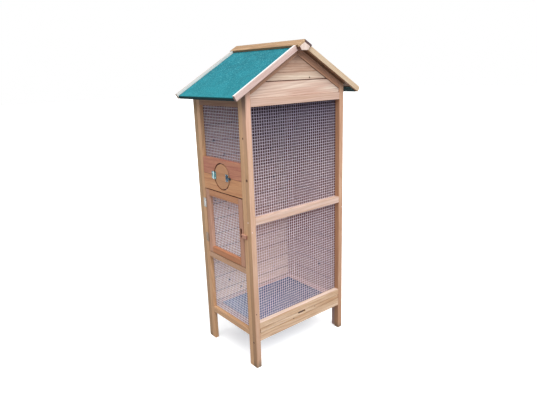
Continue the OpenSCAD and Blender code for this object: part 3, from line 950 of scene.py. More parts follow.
# Button screw: the plating has gone, and it has rusted to the brown of a nail head
RUSTY_SCREW = PlatedSteel("steel_screw_rusted", "#5E2E20", "#3A1C16", 0.75, 0.2, 2.0)
# Hinge screws: small bright dots of white-blue zinc
BRIGHT_SCREW = PlatedSteel("steel_screw_bright_zinc", "#CFE6F0", "#9FBAC8", 0.35, 0.5, 2.0)
# Post screws: nearly white, with a breath of the wood's colour
POST_SCREW = PlatedSteel("steel_screw_white_zinc", "#F0DCD2", "#D8C4BA", 0.4, 0.3, 2.0)


_made: dict[str, bpy.types.Material] = {}


def paint(piece: Object, finish: Finish, where: FaceTest | None = None) -> Object:
    """Gives a piece a finish, which it keeps when it is joined to others.

    Args:
        piece: The piece.
        finish: What it is made of.
        where: Says of a face whether the finish goes on it. Without it, the finish goes all over.

    Returns:
        The piece.
    """
    if finish.name not in _made:
        _made[finish.name] = finish.make()
    if where is None:
        piece.data.materials.clear()
    piece.data.materials.append(_made[finish.name])
    for face in piece.data.polygons:
        if where is None or where(face):
            face.material_index = len(piece.data.materials) - 1
    return piece


def outside(face: bpy.types.MeshPolygon) -> bool:
    """Says of a face of the walls or of the bars beside them whether it looks out to the back or the right."""
    return max(face.normal.x, face.normal.y) > 0.3


# ---- Pieces ----


@dataclass
class Assembly:
    """A sub-assembly that dresses its own pieces."""

    body: Body = Body.CAGE

    def dress(self, piece: Object, slot: str, *stands_for: str, body: Body | None = None) -> Object:
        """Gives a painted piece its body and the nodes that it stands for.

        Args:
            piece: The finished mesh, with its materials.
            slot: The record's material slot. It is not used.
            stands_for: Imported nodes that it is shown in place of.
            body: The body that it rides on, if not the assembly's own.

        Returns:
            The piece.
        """
        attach(piece, (body or self.body).value)
        if stands_for:
            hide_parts(*stands_for)
        LOG.info("%s: %d faces of %s", piece.name, len(piece.data.polygons), piece.data.materials[0].name)
        return piece

    def press(self, node: str, finish: PlatedSteel, slot: str, body: Body, low: PlatedSteel | None = None) -> None:
        """Dresses a pressed plate.

        Args:
            node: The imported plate.
            finish: Its plating.
            slot: The record's material slot.
            body: The body that it rides on.
            low: The plating below the middle of the door, if it differs.
        """
        piece = paint(smooth(ease(from_cad(node + "_pressed", node), PRESSED)), finish)
        self.dress(paint(piece, low, below_middle) if low else piece, slot, node, body=body)


def below_middle(face: bpy.types.MeshPolygon) -> bool:
    """Says of a face whether it belongs to the door's lower hinge."""
    return face.center.z < HINGE_LINE * MM


@dataclass
class Slopes:
    """The roof's two slopes: distances down a slope and out from the boards' underside."""

    ridge: float = 0.0

    def __post_init__(self) -> None:
        """Takes the ridge's height from the rakes, which meet half a saw cut from the middle."""
        self.ridge = corners("front_rakes")[1].z + MITRE * math.tan(PITCH)

    def point(self, side: Side, down: float, out: float, y: float = 0.0) -> Vector:
        """Gives a point of a slope in millimetres, from its distances down the slope, out of it and along it."""
        reach = down * math.cos(PITCH) + out * math.sin(PITCH)
        return Vector((side.value * reach, y, self.ridge - down * math.sin(PITCH) + out * math.cos(PITCH)))

    def lath(
        self, name: str, side: Side, down: tuple[float, float], out: tuple[float, float], low: Vector, high: Vector
    ) -> Object:
        """Adds a block that lies on a slope.

        Args:
            name: The block's name.
            side: The slope.
            down: Where it starts and ends down the slope, in millimetres.
            out: Where it starts and ends out from the underside, in millimetres.
            low: A corner as far forward as it starts, in millimetres.
            high: A corner as far back as it ends, in millimetres.

        Returns:
            The block.
        """
        bpy.ops.mesh.primitive_cube_add(
            size=1.0,
            location=self.point(side, sum(down) / 2, sum(out) / 2, (low.y + high.y) / 2) * MM,
            rotation=(0.0, side.value * PITCH, 0.0),
            scale=Vector((down[1] - down[0], high.y - low.y, out[1] - out[0])) * MM,
        )
        return added(name)

    def saw_under(self, piece: Object, side: Side, out: float) -> Object:
        """Saws off what of a piece is further out than a plane of the slope, and returns it."""
        away = Vector((side.value * math.sin(PITCH), 0.0, math.cos(PITCH)))
        return saw(piece, self.point(side, 0.0, out) * MM, away)


@dataclass
class TimberFrame(Assembly):
    """Posts, stiles, rails and screws of the cage."""

    slopes: Slopes = field(default_factory=Slopes)
    post: float = 30.0
    stile: float = 22.0
    # The screws' distances in from the posts' edges, and their heights
    side_screw: tuple[float, float] = (22.0, 807.0)
    front_screw: tuple[float, float] = (7.0, 760.0)

    def upright(
        self, name: str, side: Side, thick: float, low: Vector, high: Vector, grain: Grain, finish: Finish
    ) -> Object:
        """Makes a bar at one side whose top is sawn to the roof.

        Args:
            name: The bar's name.
            side: The side that it stands at.
            thick: Its thickness across the front, in millimetres.
            low: Its lowest corner, in millimetres, but for X.
            high: Its highest corner on the right side, in millimetres.
            grain: Which way its fibres run.
            finish: What it is made of.

        Returns:
            The bar.
        """
        inner, outer = sorted((side.value * (high.x - thick), side.value * high.x))
        piece = block(name, (inner, low.y, low.z), (outer, high.y, high.z))
        ease(self.slopes.saw_under(piece, side, 0.0))
        paint(mark_grain(piece, grain, piece.name), finish)
        return paint(piece, OUTER_BAR_FIR, outside)

    def posts(self) -> None:
        """Builds the four corner posts."""
        for node, finishes in (("front_posts", (FRONT_FIR, RIGHT_FIR)), ("back_posts", (BACK_FIR, RIGHT_SIDE_FIR))):
            low, high = corners(node)
            bars = [
                self.upright(f"{node}_{side.name}", side, self.post, low, high, Grain.UPRIGHT, finish)
                for side, finish in zip(Side, finishes)
            ]
            self.dress(put_together(node + "_planed", bars), "frame_timber", node)

    def stiles(self) -> None:
        """Builds the side stiles and the boards over the side openings."""
        low, high = corners("side_stiles")
        rail_low, rail_high = corners("side_top_rails")
        made: dict[str, list[Object]] = {"side_stiles": [], "side_top_rails": []}
        for side in Side:
            fir = SIDE_FIR if side is Side.LEFT else RIGHT_SIDE_FIR
            for node, y0, y1, z0, grain, finish in (
                ("side_stiles", low.y, rail_low.y, low.z, Grain.UPRIGHT, fir),
                ("side_stiles", rail_high.y, high.y, low.z, Grain.UPRIGHT, fir),
                ("side_top_rails", rail_low.y, rail_high.y, rail_low.z, Grain.ALONG_SIDE, SIDE_TOP_FIR),
            ):
                ends = Vector((0.0, y0, z0)), Vector((high.x, y1, high.z))
                piece = self.upright(f"side_{side.name}_{y0:.0f}", side, self.stile, *ends, grain, finish)
                made[node].append(piece)
        for (node, bars), slot in zip(made.items(), ("side_timber", "frame_timber")):
            self.dress(put_together(node + "_planed", bars), slot, node)

    def rails(self) -> None:
        """Builds the level bars of the front, the back and the left side."""
        for node, grain, finish in (
            ("front_top_beam", Grain.ACROSS_FRONT, RAIL_FIR),
            ("front_mid_rail", Grain.ACROSS_FRONT, RAIL_FIR),
            ("front_bottom_rail", Grain.ACROSS_FRONT, LOW_FIR),
            ("front_base_board", Grain.ACROSS_FRONT, LOW_FIR),
            ("back_top_beam", Grain.ACROSS_FRONT, BACK_FIR),
            ("left_mid_rail", Grain.ALONG_SIDE, MID_RAIL_FIR),
            ("left_bottom_rail", Grain.ALONG_SIDE, SIDE_FIR),
        ):
            piece = paint(paint(bar(node + "_planed", *corners(node), grain), finish), OUTER_BAR_FIR, outside)
            if node == "front_bottom_rail":
                # The rail's top faces get the pale painted highlight
                paint(piece, LIT_TOP_FIR, lambda face: face.normal.z > 0.5)
            self.dress(piece, "side_timber" if grain is Grain.ALONG_SIDE else "frame_timber", node)

    def screws(self) -> None:
        """Drives the pale screws that hold the rails to the posts."""
        screws = Screws(radius=3.2, rise=0.8)
        low, high = corners("front_posts")
        (back, side_z), (inset, z) = self.side_screw, self.front_screw
        heads = [
            screws.set_at("post_screws_left", [(low.x, low.y + back, side_z)]),
            screws.set_at("post_screws_front", [(x, low.y, z) for x in (low.x + inset, high.x - inset)], 90.0),
            screws.set_at("post_screws_right", [(high.x, low.y + back, side_z)], 180.0),
        ]
        self.dress(paint(put_together("post_screws", heads), POST_SCREW), "zinc_plate")

    def build(self) -> None:
        """Builds every bar of the frame."""
        self.posts()
        self.stiles()
        self.rails()
        self.screws()


@dataclass
class BoardedWalls(Assembly):
    """Tongued and grooved boards of the back, the right side and the gables."""

    slopes: Slopes = field(default_factory=Slopes)
    pitch: float = 89.0
    thick: float = 12.0
    gap: float = 1.2
    foot_gap: float = 3.0
    gable_gap: float = 0.4
    chamfer: float = 2.2
    # How much wider on each side, and how much deeper, the groove is than the tongue
    play: tuple[float, float] = (0.2, 1.0)
    # The lowest strip of wall that still gets a board of its own
    narrowest: float = 5.0
    # The gables: the rakes' depth under the roof boards, two joints, and what is sawn off over the apex
    rake: float = 33.1
    joints: tuple[float, float] = (1471.0, 1508.0)
    offcut: float = 12.0

    def board(self, name: str, low: Vector, high: Vector, foot: float, head: float, last: bool) -> Object:
        """Makes a level board with a tongue on its top edge and a groove under it.

        Args:
            name: The board's name.
            low: Lowest corner of the wall, in millimetres.
            high: Highest corner of the wall, in millimetres.
            foot: Height of the board's lower edge, in millimetres.
            head: Height of its upper edge, in millimetres.
            last: Whether the board has no tongue, because nothing sits on it.

        Returns:
            The board.
        """
        piece = block(name, (low.x, low.y, foot), (high.x, high.y, head))
        shoulder = (self.thick - TONGUE) / 2
        wider, deeper = self.play
        edges = [(-1.0, shoulder - wider, TONGUE + deeper), (1.0, shoulder, TONGUE)]
        for way, margin, lift in edges[: 1 if last else 2]:
            with opened(piece, faces=lambda face, way=way: face.normal.z * way > FLAT):
                bpy.ops.mesh.inset(thickness=margin * MM, depth=0.0)
                pull(0.0, 0.0, lift * MM)
        return ease(piece, self.chamfer, 1)

    def wall(self, node: str, joints: Sequence[float], grain: Grain, finish: Finish) -> None:
        """Boards a wall from its foot up, and goes on from its last given joint at the boards' pitch.

        Args:
            node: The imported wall.
            joints: Heights of the lowest joints, in millimetres.
            grain: Which way the boards run.
            finish: What the boards are made of.
        """
        name = node + "_boards"
        low, high = corners(node)
        levels = [low.z, *joints]
        while levels[-1] + self.pitch < high.z - self.narrowest:
            levels.append(levels[-1] + self.pitch)
        levels.append(high.z)
        boards = []
        for i, (foot, head) in enumerate(zip(levels, levels[1:])):
            head -= self.gap if i else self.foot_gap
            piece = self.board(f"{name}_{i}", low, high, foot, head, i == len(levels) - 2)
            boards.append(mark_joints(mark_grain(piece, grain, f"{name} {i}"), foot, head))
        piece = paint(put_together(name, boards), finish)
        self.dress(paint(piece, OUTER_FIR, outside), "wall_boards", node)

    def gable(self, node: str) -> None:
        """Boards a gable and saws it to the rakes.

        Args:
            node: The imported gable.
        """
        name = node + "_boards"
        low, high = corners(node)
        levels = [low.z, *self.joints, high.z + self.offcut]
        boards = []
        for i, finish in enumerate((GABLE_FIR, GABLE_SAP_FIR, GABLE_TOP_FIR)):
            head = levels[i + 1] - (self.gable_gap if i else self.gap)
            piece = self.board(f"{name}_{i}", low, high, levels[i], head, i == 2)
            for side in Side:
                self.slopes.saw_under(piece, side, -self.rake)
            mark_joints(mark_grain(piece, Grain.ACROSS_FRONT, f"{name} {i}"), levels[1] - self.gap, levels[1])
            boards.append(paint(paint(piece, finish), OUTER_FIR, outside))
        self.dress(put_together(name, boards), "wall_boards", node)

    def build(self) -> None:
        """Builds the two walls and the two gables."""
        self.wall("back_wall", (212.0, 270.0), Grain.ACROSS_FRONT, WALL_FIR)
        self.wall("right_wall", (203.0,), Grain.ALONG_SIDE, DIM_WALL_FIR)
        self.gable("front_gable")
        self.gable("back_gable")


@dataclass
class Roof(Assembly):
    """Rakes, roof boards, felt, bargeboards, ridge cap and apex blocks."""

    slopes: Slopes = field(default_factory=Slopes)
    board: float = 12.0
    boards_a_side: int = 5
    board_gap: float = 0.4
    felt: float = 3.0
    # How far the felt keeps off the middle, how far it is tucked in under the eave, and its bend's radius
    felt_gap: float = 0.4
    lap: float = 52.0
    fold: float = 2.2
    # Air between the layers
    bed: float = 0.1
    rake: float = 33.0
    barge: float = 27.0
    block_half: float = 33.4
    cap: float = 12.0
    # Where rakes, first boards and cap start and end down the slope, before they are sawn at the ridge
    rake_stock: tuple[float, float] = (-40.0, 400.0)
    board_start: float = -30.0
    cap_stock: tuple[float, float] = (-40.0, 38.0)
    # How much further down the bargeboards reach than the boards
    past_boards: float = 6.0
    # Share of a bargeboard's thickness whose top gets a near-white painted highlight
    bleached: float = 0.65
    eave: float = 0.0

    def __post_init__(self) -> None:
        """Takes the slope's length from the bargeboards."""
        reach = corners("front_barge_right")[1].x - self.barge * math.sin(PITCH)
        self.eave = reach / math.cos(PITCH)

    def plumb(self, piece: Object, side: Side, x: float, out: float) -> Object:
        """Saws a sloping piece plumb at a distance from the middle, and returns it."""
        return saw(piece, Vector((side.value * x * MM, 0, 0)), Vector((side.value * out, 0, 0)))

    def rakes(self) -> None:
        """Builds the raking bars of both gables, plumb cut at both ends."""
        for node in ("front_rakes", "back_rakes"):
            low, high = corners(node)
            bars = []
            for side in Side:
                name = f"{node}_{side.name}"
                piece = self.slopes.lath(name, side, self.rake_stock, (-self.rake, 0), low, high)
                self.plumb(self.plumb(piece, side, MITRE, -1), side, high.x, 1)
                bars.append(mark_grain(ease(piece), side.grain, name))
            self.dress(paint(put_together(node + "_planed", bars), RAKE_FIR), "frame_timber", node)

    def boards(self) -> None:
        """Builds the roof boards, which run from front to back."""
        width = (self.eave - self.past_boards) / self.boards_a_side
        bars = []
        for side in Side:
            for i in range(self.boards_a_side):
                name = f"roof_board_{side.name}_{i}"
                down = (width * i + self.board_gap if i else self.board_start, width * (i + 1))
                piece = self.slopes.lath(name, side, down, (self.bed, self.board), *corners("roof_boards"))
                if i == 0:
                    self.plumb(piece, side, MITRE, -1)
                bars.append(mark_grain(ease(piece, 1.0, 1), Grain.ALONG_SIDE, name))
        self.dress(paint(put_together("roof_boards_sawn", bars), SOFFIT_FIR), "wall_boards", "roof_boards")

    def strip(self, side: Side, low: float, high: float) -> Object:
        """Folds one strip of felt round the eave and in under it.

        Args:
            side: The slope that it covers.
            low: Its front edge, in millimetres.
            high: Its back edge, in millimetres.

        Returns:
            The strip.
        """
        half = (self.felt - self.bed) / 2
        top, under = self.board + self.felt - half, -half - self.bed
        end = self.eave - self.past_boards + half + self.bed
        route = ((0.0, top), (end, top), (end, under), (end - self.lap, under))
        stops = [self.slopes.point(side, *stop) for stop in route]
        stops[0].x += side.value * self.felt_gap
        bpy.ops.mesh.primitive_plane_add(size=1.0)
        sheet = bpy.context.object
        for vertex in sheet.data.vertices:
            stop = stops[0 if vertex.co.x < 0 else 1] * MM
            vertex.co = (stop.x, (low if vertex.co.y < 0 else high) * MM, stop.z)
        for here, there in zip(stops[1:], stops[2:]):
            spot = here * MM
            with opened(sheet, edges=lambda *ends: all(math.hypot(c.x - spot.x, c.z - spot.z) < NEAR for c in ends)):
                pull(*(there - here) * MM)
        trim(sheet, "BEVEL", width=self.fold * MM, segments=4, limit_method="ANGLE", angle_limit=0.5)
        with opened(sheet):
            bpy.ops.mesh.normals_make_consistent(inside=False)
        return trim(sheet, "SOLIDIFY", thickness=2 * half * MM, offset=0.0, use_even_offset=True)

    def cover(self) -> None:
        """Lays the felt, one strip a slope."""
        low, high = corners("roof_felt")
        strips = [self.strip(side, low.y, high.y) for side in Side]
        piece = smooth(put_together("roof_felt_sheet", strips), 30.0)
        self.dress(paint(piece, MineralFelt(high.y)), "roof_felt_green", "roof_felt")

    def barges(self) -> None:
        """Builds the bargeboards, square cut at both ends."""
        ends = (self.block_half / math.cos(PITCH), self.eave)
        for side, finish in ((Side.LEFT, PINK_TRIM), (Side.RIGHT, TAN_TRIM)):
            node = f"front_barge_{side.name.lower()}"
            low, high = corners(node)
            piece = self.slopes.lath(node + "_planed", side, ends, (0, self.barge), low, high)
            # A strip of the top on the felt's side has an edge of its own, and on the left board a near-white
            # painted highlight
            highlight_line = (high.y - (high.y - low.y) * self.bleached) * MM
            saw(ease(piece), Vector((0, highlight_line, 0)), Vector((0, 1, 0)), drop=False)
            paint(mark_grain(piece, side.grain, node), finish)
            if side is Side.LEFT:
                paint(piece, HIGHLIGHT_TRIM, lambda face: face.normal.z > NEAR_FLAT and face.center.y > highlight_line)
            self.dress(piece, "roof_trim", node)
        back = []
        for side in Side:
            name = f"back_barge_{side.name}"
            piece = self.slopes.lath(name, side, ends, (0, self.barge), *corners("back_barges"))
            back.append(mark_grain(ease(piece), side.grain, name))
        piece = paint(put_together("back_barges_planed", back), TAN_TRIM)
        # Top faces and inner faces get a pale painted light
        paint(piece, BACK_TRIM, lambda face: face.normal.z > NEAR_FLAT)
        paint(piece, LIT_INNER_TRIM, lambda face: face.normal.y < -NEAR_FLAT)
        self.dress(piece, "roof_trim", "back_barges")

    def capping(self) -> None:
        """Builds the two mitred boards of the ridge cap and the blocks under their ends."""
        under = self.board + self.felt
        boards = []
        for side, finish in ((Side.LEFT, CAP_TRIM), (Side.RIGHT, CAP_END_TRIM)):
            name = f"cap_{side.name}"
            out = (under + self.bed, under + self.cap)
            piece = self.slopes.lath(name, side, self.cap_stock, out, *corners("ridge_cap"))
            piece = mark_grain(ease(self.plumb(piece, side, MITRE, -1)), Grain.ALONG_SIDE, name)
            boards.append(paint(piece, finish))
        self.dress(put_together("ridge_cap_planed", boards), "roof_trim", "ridge_cap")
        blocks = mark_grain(ease(from_cad("apex_blocks_planed", "apex_blocks")), Grain.UPRIGHT, "blocks")
        self.dress(paint(blocks, BLOCK_TRIM), "roof_trim", "apex_blocks")

    def build(self) -> None:
        """Builds the whole roof."""
        self.rakes()
        self.boards()
        self.cover()
        self.barges()
        self.capping()


@dataclass
class WeldedMesh(Assembly):
    """A panel of square welded mesh of galvanised wire."""

    node: str = ""
    square: float = 14.6
    # The wire is 1.6 mm; it is drawn a fifth of a millimetre thicker so that it still shows from afar
    gauge: float = 1.8
    # How deep the welds have sunk the wires into each other
    weld: float = 1.0
    # The panels' waviness: how far apart its waves are, and how strong
    ripple: tuple[float, float] = (60.0, 0.8)
    skins: tuple[PlatedSteel, PlatedSteel] = (WIRE, WIRE)

    def wires(self, run: int, step: int, through: int, depth: float, skin: PlatedSteel) -> Object:
        """Makes one set of parallel wires.

        Args:
            run: Axis that the wires run along.
            step: Axis that they are set out along.
            through: Axis through the panel.
            depth: Their middle on that axis, in millimetres.
            skin: Their plating.

        Returns:
            The wires.
        """
        low, high = corners(self.node)
        count = int((high[step] - low[step] - self.gauge) // self.square) + 1
        start, end, offset = Vector(), Vector(), Vector()
        start[through] = end[through] = depth
        start[step] = end[step] = (low[step] + high[step] - (count - 1) * self.square) / 2
        start[run], end[run] = low[run], high[run]
        offset[step] = self.square * MM
        wire = rod("wire", self.gauge / 2, start, end, sides=6)
        with opened(wire, edges=lambda a, b: abs(a[run] - b[run]) > self.square * MM):
            bpy.ops.mesh.subdivide(number_cuts=int((high[run] - low[run]) // self.square))
        trim(
            wire,
            "ARRAY",
            count=count,
            use_relative_offset=False,
            use_constant_offset=True,
            constant_offset_displace=offset,
        )
        return paint(wire, skin)

    def build(self) -> None:
        """Builds the panel in its packed plate's place."""
        low, high = corners(self.node)
        through = min(range(2), key=lambda axis: high[axis] - low[axis])
        level = 1 - through
        middle = (low[through] + high[through]) / 2
        # The level wires lie behind the upright ones
        apart = (self.gauge - self.weld) / 2
        upright = self.wires(2, level, through, middle - apart, self.skins[0])
        across = self.wires(level, 2, through, middle + apart, self.skins[1])
        panel = put_together(self.node + "_wires", (upright, across))
        waves, strength = (size * MM for size in self.ripple)
        cloud = bpy.data.textures.new(self.node, "CLOUDS")
        cloud.noise_scale = waves
        trim(panel, "DISPLACE", texture=cloud, direction="RGB_TO_XYZ", strength=strength, texture_coords="LOCAL")
        self.dress(smooth(panel, 65.0), "galvanised_wire", self.node)


@dataclass
class Screws:
    """Round-headed cross screws."""

    radius: float = 3.0
    rise: float = 1.3
    bite: float = 0.4
    # Rounding of the rim: at most, and as a share of the rise
    rim: tuple[float, float] = (0.9, 0.7)
    # The cross: half its length and width, and its depth as a share of the rise
    cross: tuple[float, float] = (1.7, 0.35)
    sunk: float = 0.5

    def head(self) -> Object:
        """Turns one screw head on the origin and cuts its cross.

        Returns:
            The head, which looks along -X.
        """
        piece = rod("screw", self.radius, (self.bite, 0, 0), (-self.rise, 0, 0), sides=16)
        with opened(piece, faces=lambda face: face.normal.x < -FLAT):
            most, share = self.rim
            bpy.ops.mesh.bevel(offset=min(most, self.rise * share) * MM, segments=3, affect="EDGES")
        floor = -self.rise * self.sunk
        for y, z in (self.cross, self.cross[::-1]):
            cut_out(piece, block("driver", (-2, -y, -z), (floor, y, z)))
        return smooth(piece, 35.0)

    def set_at(self, name: str, places: Iterable[Point], turn: float = 0.0) -> Object:
        """Copies the head to each place.

        Args:
            name: The piece's name.
            places: Where the heads sit, in millimetres.
            turn: How far they are turned about the vertical, in degrees.

        Returns:
            All the heads as one piece.
        """
        head = self.head()
        head.rotation_euler.z = math.radians(turn)
        seat(head)
        heads = [twin(head, place) for place in places]
        bpy.data.objects.remove(head)
        return put_together(name, heads)


@dataclass
class Hatch(Assembly):
    """The red-brown board with its round hatch, hinge and latch."""

    joint: float = 1007.0
    joint_gap: float = 0.6
    over_door: float = 930.0
    hole: float = 71.0
    disc: float = 65.0
    middle: Point = (-315.0, 6.0, 1006.0)

    def turned(self, name: str, radius: float, start: float, end: float) -> Object:
        """Turns a round that lies across the side, and returns it."""
        _, y, z = self.middle
        return rod(name, radius, (start, y, z), (end, y, z), sides=96)

    def bored(self, face: bpy.types.MeshPolygon) -> bool:
        """Says of a face whether it is inside the hatch hole."""
        off = math.hypot(*(a / MM - b for a, b in zip(face.center[1:], self.middle[1:])))
        return off < self.hole + SLACK and abs(face.normal.x) < NEAR_FLAT

    def board(self) -> None:
        """Builds the two boards and bores the hatch hole through them."""
        low, high = corners("hatch_board")
        bars = []
        for name, foot, head, finish in (
            ("lower", low.z, self.joint - self.joint_gap, HATCH_LOW_FIR),
            ("upper", self.joint, high.z, HATCH_TOP_FIR),
        ):
            piece = block("hatch_" + name, (low.x, low.y, foot), (high.x, high.y, head))
            ease(cut_out(piece, self.turned("drill", self.hole, low.x - OVERCUT, high.x + OVERCUT)), 1.0)
            mark_joints(mark_grain(piece, Grain.ALONG_SIDE, piece.name), self.joint)
            # The underside over the door gets a dark painted shade, and the bore a lighter one
            shaded_below = self.over_door * MM
            paint(piece, finish)
            paint(piece, GAP_SHADE_FIR, lambda face: face.normal.z < -NEAR_FLAT and face.center.z < shaded_below)
            bars.append(paint(piece, BORE_SHADE_FIR, self.bored))
        self.dress(put_together("hatch_board_planed", bars), "hatch_board_timber", "hatch_board")

    def door(self) -> None:
        """Turns the round hatch and dresses its hinge and latch."""
        low, high = corners("hatch_disc")
        disc = ease(self.turned("hatch_disc_turned", self.disc, low.x, high.x), 1.4, 3)
        mark_grain(disc, Grain.ALONG_SIDE, "hatch disc")
        self.dress(paint(disc, DISC_FIR), "hatch_disc_timber", "hatch_disc", body=Body.HATCH)
        self.press("hatch_hinge_plate", HINGE_ZINC, "zinc_plate", Body.CAGE)
        self.press("hatch_hinge_leaf", HINGE_ZINC, "zinc_plate", Body.HATCH)
        self.press("hatch_latch_plate", DARK_STEEL, "dark_steel", Body.HATCH)
        self.press("hatch_latch", DARK_STEEL, "dark_steel", Body.LATCH)
        for name, screws, ys, zs, body in (
            ("hatch_hinge_plate_screws", Screws(), (90.0,), (993.0, 1019.0), Body.CAGE),
            ("hatch_hinge_leaf_screws", Screws(radius=2.4), (63.5,), (993.0, 1019.0), Body.HATCH),
            # The latch sweeps over its plate's screws, so they are sunk nearly flush
            ("hatch_latch_screws", Screws(radius=2.2, rise=0.15), (-49.0, -33.0), (990.5, 1021.5), Body.HATCH),
        ):
            piece = screws.set_at(name, [(SKIN, y, z) for y in ys for z in zs])
            self.dress(paint(piece, BRIGHT_SCREW), "zinc_plate", body=body)

    def build(self) -> None:
        """Builds the board and the hatch."""
        self.board()
        self.door()


@dataclass
class Door(Assembly):
    """The framed mesh door with its hinges, finger slot and turn button."""

    body: Body = Body.DOOR
    slot: tuple[float, float] = (12.0, 52.0)
    slot_at: tuple[float, float] = (-141.0, HINGE_LINE)
    rail: float = 33.0
    head: float = 900.0
    # The hinges' distance from the line between them, and their screws' place and spacing
    hinge_rise: float = 100.0
    screw_y: float = 191.5
    screw_pitch: float = 18.0

    def frame(self) -> None:
        """Builds the stiles and rails, and cuts the finger slot."""
        stile = bar("door_hinge_stile_planed", *corners("door_hinge_stile"), Grain.UPRIGHT)
        self.dress(paint(stile, DOOR_STILE_FIR), "door_timber", "door_hinge_stile")
        low, high = corners("door_latch_stile")
        stile = block("door_latch_stile_planed", low, high)
        y, z = self.slot_at
        run = (self.slot[1] - self.slot[0]) / 2
        cutter = rod("slot", self.slot[0] / 2, (low.x - OVERCUT, y, z), (high.x + OVERCUT, y, z), sides=32)
        for vertex in cutter.data.vertices:
            vertex.co.z += run * MM if vertex.co.z > z * MM else -run * MM
        mark_grain(ease(cut_out(stile, cutter), 1.0), Grain.UPRIGHT, "door latch stile")
        paint(paint(stile, DOOR_STILE_FIR), GAP_SHADE_FIR, self.sawn)
        self.dress(stile, "door_timber", "door_latch_stile")
        low, high = corners("door_rails")
        rails = [
            bar("door_rail_low", low, (high.x, high.y, low.z + self.rail), Grain.ALONG_SIDE),
            bar("door_rail_high", (low.x, low.y, high.z - self.rail), high, Grain.ALONG_SIDE),
        ]
        piece = paint(put_together("door_rails_planed", rails), DOOR_RAIL_FIR)
        self.dress(paint(piece, GAP_SHADE_FIR, self.sawn), "door_timber", "door_rails")

    def sawn(self, face: bpy.types.MeshPolygon) -> bool:
        """Says of a face whether it gets the dark painted shade of the gaps.

        Args:
            face: A face of the door's frame.

        Returns:
            Whether it is inside the finger slot or on the door's head.
        """
        off = (abs(a / MM - b) for a, b in zip(face.center[1:], self.slot_at))
        inside = all(a < size / 2 + SLACK for a, size in zip(off, self.slot)) and abs(face.normal.x) < NEAR_FLAT
        return inside or (face.normal.z > NEAR_FLAT and face.center.z > self.head * MM)

    def fittings(self) -> None:
        """Dresses the hinges, their screws, the turn button and its screw."""
        self.press("door_hinge_plates", DOOR_ZINC, "zinc_plate", Body.CAGE, DOOR_ZINC_LOW)
        self.press("door_hinge_leaves", DOOR_ZINC, "zinc_plate", Body.DOOR, DOOR_ZINC_LOW)
        self.press("door_button_screw", RUSTY_SCREW, "dark_steel", Body.DOOR)
        hinges = (HINGE_LINE - self.hinge_rise, HINGE_LINE + self.hinge_rise)
        gaps = (-self.screw_pitch, 0.0, self.screw_pitch)
        places = [(SKIN, self.screw_y, hinge + gap) for hinge in hinges for gap in gaps]
        screws = paint(Screws().set_at("door_hinge_plate_screws", places), DOOR_ZINC)
        self.dress(paint(screws, DOOR_ZINC_LOW, below_middle), "zinc_plate", body=Body.CAGE)
        button = mark_grain(ease(from_cad("door_button_shaped", "door_button"), 2.0, 3), Grain.ALONG_SIDE, "button")
        self.dress(paint(button, BUTTON_FIR), "side_timber", "door_button", body=Body.BUTTON)

    def build(self) -> None:
        """Builds the door."""
        self.frame()
        WeldedMesh(node="door_mesh", body=Body.DOOR, skins=(DOOR_WIRE, DOOR_WIRE)).build()
        self.fittings()


@dataclass
class TrayBay(Assembly):
    """The pull-out tray with its wooden front, and the ledges that carry it."""

    body: Body = Body.TRAY
    sheet: float = 1.5
    # The finger notch's width and depth
    notch: tuple[float, float] = (52.0, 12.5)

    def ledges(self) -> None:
        """Builds the side runners with their lips and the back ledge."""
        for node, grain in (("tray_runners", Grain.ALONG_SIDE), ("back_ledge", Grain.ACROSS_FRONT)):
            piece = paint(mark_grain(ease(from_cad(node + "_planed", node), 1.0), grain, node), LEDGE_FIR)
            # The left runner's faces get the darker painted shade
            paint(piece, DIM_LEDGE_FIR, lambda face, node=node: node == "tray_runners" and face.center.x < 0)
            self.dress(piece, "side_timber", node, body=Body.CAGE)

    def pan(self) -> None:
        """Folds the tray from sheet: a block whose top is inset and pushed down."""
        low, high = corners("tray_pan")
        piece = block("tray_pan_folded", low, high)
        with opened(piece, faces=lambda face: face.normal.z > FLAT):
            bpy.ops.mesh.inset(thickness=self.sheet * MM, depth=0.0)
            pull(0.0, 0.0, -(high.z - low.z - self.sheet) * MM)
        paint(ease(piece, 0.6, 2), TRAY_SHEET)
        # The front wall, seen through the notch, gets the brown-black painted shade
        paint(piece, TRAY_SHADE, lambda face: face.normal.y < -FLAT and face.center.y < low.y * MM / 2)
        self.dress(piece, "zinc_plate", "tray_pan")

    def front(self) -> None:
        """Builds the front strip with its finger notch."""
        low, high = corners("tray_front")
        piece = block("tray_front_planed", low, high)
        width, depth = self.notch
        ends = (-width / 2, low.y - OVERCUT, high.z - depth), (width / 2, high.y + OVERCUT, high.z + 20)
        cutter = block("notch", *ends)
        floor = (high.z - depth) * MM
        with opened(cutter, edges=lambda a, b: max(abs(a.z - floor), abs(b.z - floor), abs(a.x - b.x)) < NEAR):
            bpy.ops.mesh.bevel(offset=depth / 2 * MM, segments=8, affect="EDGES")
        mark_grain(ease(cut_out(piece, cutter), 0.9), Grain.ACROSS_FRONT, "tray front")
        self.dress(paint(piece, LOW_FIR), "frame_timber", "tray_front")

    def build(self) -> None:
        """Builds the ledges and the tray."""
        self.ledges()
        self.pan()
        self.front()


